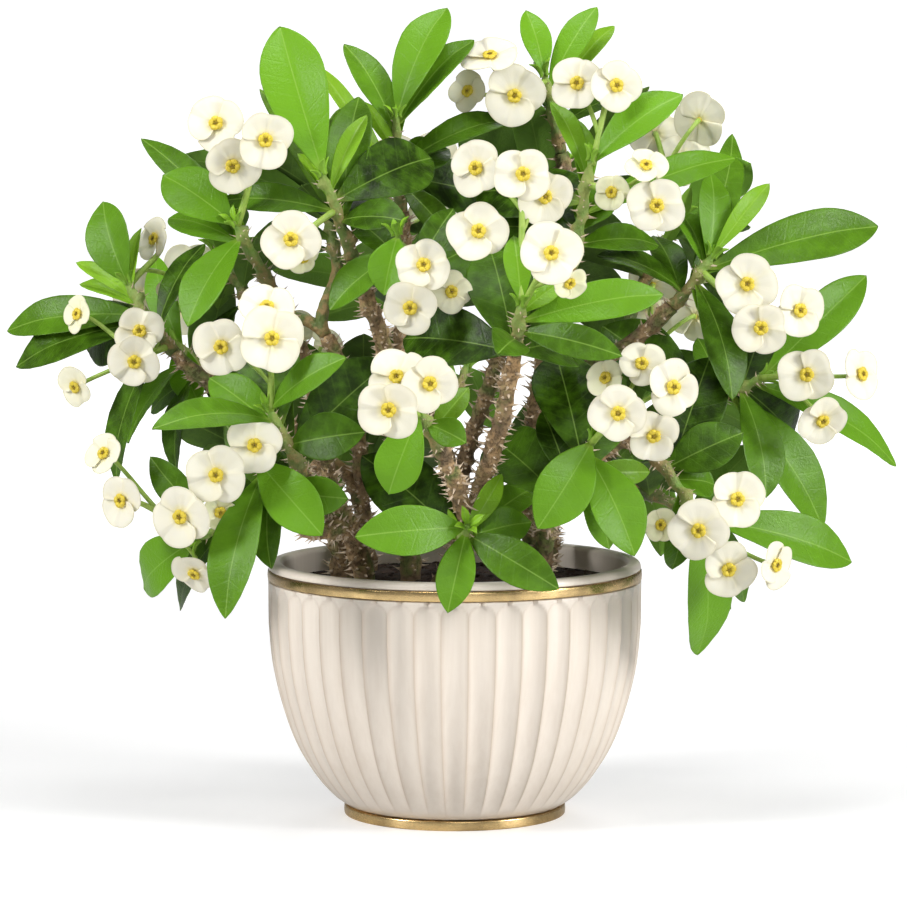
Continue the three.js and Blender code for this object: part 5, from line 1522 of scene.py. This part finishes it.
def bark_material(settings):
    finish = Finish("Warty Bark", 0.8)
    patches = finish.blotches(90, 0.4, 0.62)
    moss = finish.blotches(55, 0.46, 0.60)
    flakes = finish.blotches(650, 0.45, 0.7)
    warm = finish.times(patches, finish.spread(finish.painted("age"), 0.1, 0.9, 0.25, 1.0))
    brown = finish.mix(warm, settings.bark, settings.bark_warm)
    mossy = finish.mix(moss, brown, settings.moss)
    # Paler where the bark stands raised: on its hills and on the warts at the thorns' feet.
    raised = finish.times(finish.painted("wart"), 0.85)
    paler_where_raised = finish.mix(raised, mossy, scaled(settings.bark, 3.2))
    finish.colour(finish.mix(finish.times(flakes, 0.45), paler_where_raised, scaled(settings.bark, 0.35)))
    finish.roughness(flakes, 0.68, 0.92)
    finish.bump(flakes, 0.6)
    return finish.material


def thorn_material(name, settings, foot):
    """Horn that runs from the colour of the stem at a thorn's foot to pale tan."""
    finish = Finish(name, 0.55)
    point = finish.spread(finish.painted("sharpness"), 0.0, 0.35)
    streaks = finish.blotches(500, 0.35, 0.65)
    horn = finish.mix(point, foot, settings.thorn)
    finish.colour(finish.mix(finish.times(streaks, 0.4), horn, TINTS["horn_streak"]))
    finish.roughness(streaks, 0.45, 0.65)
    finish.bump(streaks, 0.1)
    return finish.material


def green_stem_material(settings):
    finish = Finish("Green Stem", 0.5)
    patches = finish.blotches(170, 0.42, 0.62)
    young = finish.spread(finish.painted("age"), 0.0, 0.9)
    green = finish.mix(young, TINTS["stem_foot"], TINTS["stem_tip"])
    barky = finish.times(patches, finish.spread(finish.painted("age"), 0.1, 0.9, 0.8, 0.2))
    scarred = finish.mix(barky, green, settings.bark_warm)
    finish.colour(finish.mix(finish.times(finish.painted("wart"), 0.35), scarred, TINTS["leaf_scar"]))
    finish.roughness(patches, 0.42, 0.7)
    finish.bump(finish.blotches(600, 0.35, 0.7), 0.3)
    return finish.material


def leaf_material(settings):
    """Deep to bright green by leaf, darker for older leaves and with painted shade on the inner ones, with a
    pale rib and foot, faint side veins and a paler underside.
    """
    finish = Finish("Leaf", 0.36)
    finish.shader.inputs["Specular IOR Level"].default_value = 0.18
    under, along = finish.painted("under"), finish.painted("along")
    bright = scaled(settings.leaf, 1.75)
    # The deep green goes to the inner and lower leaves and the bright green to those at the shoots' tips:
    # darker with age, and painted shade inside the bush.
    grown = finish.mix(finish.spread(finish.painted("tint"), 0.08, 1.0), scaled(settings.leaf, 0.15), bright)
    blade = finish.mix(finish.painted("young"), grown, settings.young_leaf)
    cloudy = finish.mix(finish.times(finish.blotches(130, 0.35, 0.7), 0.35), blade, bright)
    side_veins = finish.grouped("Fine Lines", Value=finish.painted("vein"), Half_Width=0.09)
    rib = finish.spread(finish.painted("from_rib"), 0.05, 0.4, 1.0, 0.0)
    veined = finish.mix(finish.times(side_veins, 0.07), cloudy, TINTS["side_vein"])
    ribbed = finish.mix(finish.times(rib, 0.42), veined, TINTS["rib"])
    stalked = finish.mix(finish.spread(along, 0.0, 0.14, 0.7, 0.0), ribbed, TINTS["leaf_foot"])
    finish.colour(finish.mix(finish.times(under, 0.35), stalked, TINTS["leaf_under"]))
    finish.roughness(under, 0.29, 0.6)
    relief = finish.plus(finish.times(side_veins, -0.6), finish.blotches(900, 0.3, 0.7))
    finish.bump(relief, 0.12, 0.6)
    return finish.material


def bract_material(settings):
    """Cream that turns yellow in the throat, with yellowish painted shade in the slits between the lobes and
    darker painted shade at the rim.
    """
    finish = Finish("Bract", 0.62)
    finish.shader.inputs["Subsurface Weight"].default_value = 0.25
    finish.shader.inputs["Subsurface Radius"].default_value = (1.0, 0.85, 0.5)
    finish.shader.inputs["Subsurface Scale"].default_value = 1.5 * MM
    out = finish.painted("out")
    cream = finish.mix(finish.painted("young"), settings.bract, TINTS["young_bract"])
    shaded = finish.mix(finish.times(finish.painted("tint"), 0.25), cream, TINTS["warm_bract"])
    # Yellowish painted shade in the slits between the lobes.
    folded = finish.mix(finish.times(finish.painted("slit"), 0.55), shaded, TINTS["bract_slit_shade"])
    deep = finish.mix(finish.spread(out, 0.1, 0.5, 0.8, 0.0), folded, TINTS["throat"])
    # Darker painted shade along the rim, which turns back.
    rim_shaded = finish.mix(finish.spread(out, 0.90, 1.0, 0.0, 0.6), deep, TINTS["bract_rim_shade"])
    finish.colour(finish.mix(finish.times(finish.painted("under"), 0.3), rim_shaded, TINTS["bract_under"]))
    finish.roughness(finish.blotches(500, 0.3, 0.7), 0.52, 0.72)
    finish.bump(finish.painted("spoke"), 0.08, 0.5)
    return finish.material


def gland_material(settings):
    finish = Finish("Yellow Glands", 0.4)
    mottle = finish.blotches(1500, 0.35, 0.65)
    finish.colour(finish.mix(finish.times(mottle, 0.6), settings.gland, scaled(settings.gland, 0.6)))
    finish.roughness(mottle, 0.3, 0.5)
    finish.bump(mottle, 0.1)
    return finish.material


def star_material():
    finish = Finish("Dark Star", 0.6)
    mottle = finish.blotches(1700, 0.4, 0.6)
    finish.colour(finish.mix(mottle, TINTS["star"], TINTS["stamens"]))
    finish.roughness(mottle, 0.5, 0.7)
    finish.bump(mottle, 0.1)
    return finish.material


def stalk_material():
    finish = Finish("Flower Stalk", 0.45)
    streaks = finish.blotches(240, 0.35, 0.65)
    finish.colour(finish.mix(streaks, TINTS["stalk"], TINTS["pale_stalk"]))
    finish.roughness(streaks, 0.38, 0.52)
    finish.bump(finish.blotches(900, 0.35, 0.65), 0.1)
    return finish.material


def stage_material(settings):
    """Pale paper with a glow that is seen but doesn't light the plant, and that grows with the distance."""
    finish = Finish("Pale Stage", 0.5)
    seen = finish.tree.nodes.new("ShaderNodeLightPath")
    where = finish.tree.nodes.new("ShaderNodeTexCoord")
    away = finish.tree.nodes.new("ShaderNodeVectorMath")
    away.operation = "LENGTH"
    finish.link(where.outputs["Object"], away.inputs[0])
    finish.shader.inputs["Emission Color"].default_value = (1, 1, 1, 1)
    whiter = finish.spread(away.outputs["Value"], 0.3, 1.8, settings.glow, 1.0)
    glow = finish.times(seen.outputs["Is Camera Ray"], whiter)
    finish.link(glow, finish.shader.inputs["Emission Strength"])
    finish.colour(finish.mix(finish.blotches(3, 0.3, 0.7), settings.floor, scaled(settings.floor, 0.985)))
    return finish.material


# ---------------------------------------------------------------- stage, light and camera

# In metres: the floor's radius, that of the corner up to the backdrop, and the backdrop's height.
SWEEP = {"middle": 0.5, "floor": 4.2, "corner": 0.9, "height": 3.2, "segments": 96, "steps": 12}
# The soft boxes: where each stands and its size, in metres, and its power in watts.
LIGHTS = {
    "left_light": ((-1.8, -1.0, 1.2), (0.5, 1.0), 40),
    "right_light": ((1.8, -0.9, 0.9), (0.5, 1.0), 40),
    "top_light": ((0.0, -0.3, 2.1), (0.8, 0.8), 19),
    "front_light": ((0.4, -2.3, 1.0), (1.0, 1.0), 12),
    "back_light": ((0.3, 1.9, 1.3), (0.8, 0.8), 6),
}
LIGHT_AIM = (0, 0, 0.16)
WORLD_STRENGTH = 0.10
CAMERA = {"sensor": 36, "lens": 174, "aim": (-0.0005, 0, 0.1465)}


def make_sweep(settings):
    """A round floor that sweeps up into a backdrop on all sides."""
    floor, corner, segments = SWEEP["floor"], SWEEP["corner"], SWEEP["segments"]
    line = [(SWEEP["middle"], 0.0), (floor, 0.0)]
    for angle in np.radians(np.linspace(-90, 0, SWEEP["steps"] + 1)[1:]):
        line.append((floor + corner * math.cos(angle), corner + corner * math.sin(angle)))
    line.append((floor + corner, SWEEP["height"]))
    rings = turned_rings(line, even_angles(segments))
    faces = [list(range(segments))]
    for i in range(len(line) - 1):
        for k in range(segments):
            here, beside = i * segments + k, i * segments + (k + 1) % segments
            faces.append([here, here + segments, beside + segments, beside])
    mesh = bpy.data.meshes.new("stage_sweep")
    mesh.from_pydata(rings.reshape(-1, 3).tolist(), [], faces)
    mesh.materials.append(stage_material(settings))
    mesh.shade_smooth()
    sweep = bpy.data.objects.new("stage_sweep", mesh)
    bpy.context.scene.collection.objects.link(sweep)


def add_looking(name, data, where, aim):
    """An object for a light or camera that looks from a place at a point."""
    made = bpy.data.objects.new(name, data)
    made.location = where
    made.rotation_euler = (Vector(aim) - Vector(where)).to_track_quat("-Z", "Y").to_euler()
    bpy.context.scene.collection.objects.link(made)
    return made


def make_light(name, where, size, power):
    lamp = bpy.data.lights.new(name, "AREA")
    lamp.shape = "RECTANGLE"
    lamp.size, lamp.size_y = size
    lamp.energy = power
    add_looking(name, lamp, where, LIGHT_AIM)


def make_world(strength):
    world = bpy.data.worlds.new("Pale Room")
    world.use_nodes = True
    sky = world.node_tree.nodes["Background"]
    sky.inputs["Color"].default_value = (1, 1, 1, 1)
    sky.inputs["Strength"].default_value = strength
    bpy.context.scene.world = world


def make_camera():
    """The camera at the eye of the planting plan, level with the bush's top and tilted down."""
    lens = bpy.data.cameras.new("camera")
    lens.sensor_width = CAMERA["sensor"]
    lens.lens = CAMERA["lens"]
    eye = (0, -GRID["eye_distance"] * MM, GRID["eye_height"] * MM)
    bpy.context.scene.camera = add_looking("camera", lens, eye, CAMERA["aim"])


# ---------------------------------------------------------------- operators


def ensure_groups():
    """Builds each shader group once."""
    if "Blotches" not in bpy.data.node_groups:
        blotch_group()
    if "Fine Lines" not in bpy.data.node_groups:
        line_group()


class THORNPLANT_OT_pot(bpy.types.Operator):
    """Builds the fluted pot"""

    bl_idname = "thornplant.pot"
    bl_label = "Make Pot"

    def execute(self, context):
        settings = context.scene.thornplant_pot
        ensure_groups()
        make_pot(settings, [glaze_material(settings)])
        return {"FINISHED"}


class THORNPLANT_OT_gold(bpy.types.Operator):
    """Builds the gold rim band and foot ring"""

    bl_idname = "thornplant.gold"
    bl_label = "Make Gold Rings"

    def execute(self, context):
        ensure_groups()
        gold = [gold_material(context.scene.thornplant_pot)]
        make_hoop("band_gold", "rim_band", BAND, gold)
        make_hoop("foot_gold", "foot_ring", FOOT_RING, gold)
        return {"FINISHED"}


class THORNPLANT_OT_soil(bpy.types.Operator):
    """Builds the potting soil with its crumbs"""

    bl_idname = "thornplant.soil"
    bl_label = "Make Soil"

    def execute(self, context):
        settings = context.scene.thornplant_pot
        ensure_groups()
        make_soil(settings, [soil_material(settings)])
        return {"FINISHED"}


class THORNPLANT_OT_wood(bpy.types.Operator):
    """Builds the thorny main stems"""

    bl_idname = "thornplant.wood"
    bl_label = "Make Woody Stems"

    def execute(self, context):
        settings = context.scene.thornplant_plant
        ensure_groups()
        make_wood(settings, [bark_material(settings), thorn_material("Old Thorn", settings, settings.bark)])
        return {"FINISHED"}


class THORNPLANT_OT_shoots(bpy.types.Operator):
    """Builds the leafy shoots"""

    bl_idname = "thornplant.shoots"
    bl_label = "Make Leafy Shoots"

    def execute(self, context):
        settings = context.scene.thornplant_plant
        ensure_groups()
        soft = thorn_material("Young Thorn", settings, settings.moss)
        make_shoots(settings, [leaf_material(settings), green_stem_material(settings), soft])
        return {"FINISHED"}


class THORNPLANT_OT_blooms(bpy.types.Operator):
    """Builds the bloom clusters"""

    bl_idname = "thornplant.blooms"
    bl_label = "Make Blooms"

    def execute(self, context):
        settings = context.scene.thornplant_plant
        ensure_groups()
        make_blooms([bract_material(settings), gland_material(settings), star_material(), stalk_material()])
        return {"FINISHED"}


class THORNPLANT_OT_stage(bpy.types.Operator):
    """Builds the stage, the studio light and the camera"""

    bl_idname = "thornplant.stage"
    bl_label = "Make Stage"

    def execute(self, context):
        settings = context.scene.thornplant_stage
        ensure_groups()
        make_sweep(settings)
        for name, (where, size, power) in LIGHTS.items():
            make_light(name, where, size, power * settings.brightness)
        make_world(WORLD_STRENGTH * settings.brightness)
        make_camera()
        context.scene.view_settings.view_transform = "Standard"
        return {"FINISHED"}


class THORNPLANT_PT_panel(bpy.types.Panel):
    """Lists the plant's settings and the buttons that build its pieces"""

    bl_idname = "THORNPLANT_PT_panel"
    bl_label = "Crown of Thorns"
    bl_space_type = "VIEW_3D"
    bl_region_type = "UI"
    bl_category = "Crown of Thorns"

    def draw(self, context):
        for name, group in SETTINGS.items():
            box = self.layout.box()
            for setting in group.__annotations__:
                box.prop(getattr(context.scene, name), setting)
        for operator in OPERATORS:
            self.layout.operator(operator.bl_idname)


SETTINGS = {
    "thornplant_pot": PotSettings,
    "thornplant_plant": PlantSettings,
    "thornplant_stage": StageSettings,
}
OPERATORS = (
    THORNPLANT_OT_stage,
    THORNPLANT_OT_pot,
    THORNPLANT_OT_gold,
    THORNPLANT_OT_soil,
    THORNPLANT_OT_wood,
    THORNPLANT_OT_shoots,
    THORNPLANT_OT_blooms,
)


def register():
    for name, group in SETTINGS.items():
        bpy.utils.register_class(group)
        setattr(bpy.types.Scene, name, bpy.props.PointerProperty(type=group))
    for operator in OPERATORS:
        bpy.utils.register_class(operator)
    bpy.utils.register_class(THORNPLANT_PT_panel)


def unregister():
    bpy.utils.unregister_class(THORNPLANT_PT_panel)
    for operator in reversed(OPERATORS):
        bpy.utils.unregister_class(operator)
    for name, group in reversed(SETTINGS.items()):
        delattr(bpy.types.Scene, name)
        bpy.utils.unregister_class(group)


def main():
    register()
    bpy.ops.thornplant.stage()
    bpy.ops.thornplant.pot()
    bpy.ops.thornplant.gold()
    bpy.ops.thornplant.soil()
    bpy.ops.thornplant.wood()
    bpy.ops.thornplant.shoots()
    bpy.ops.thornplant.blooms()
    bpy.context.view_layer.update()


if __name__ == "__main__":
    main()
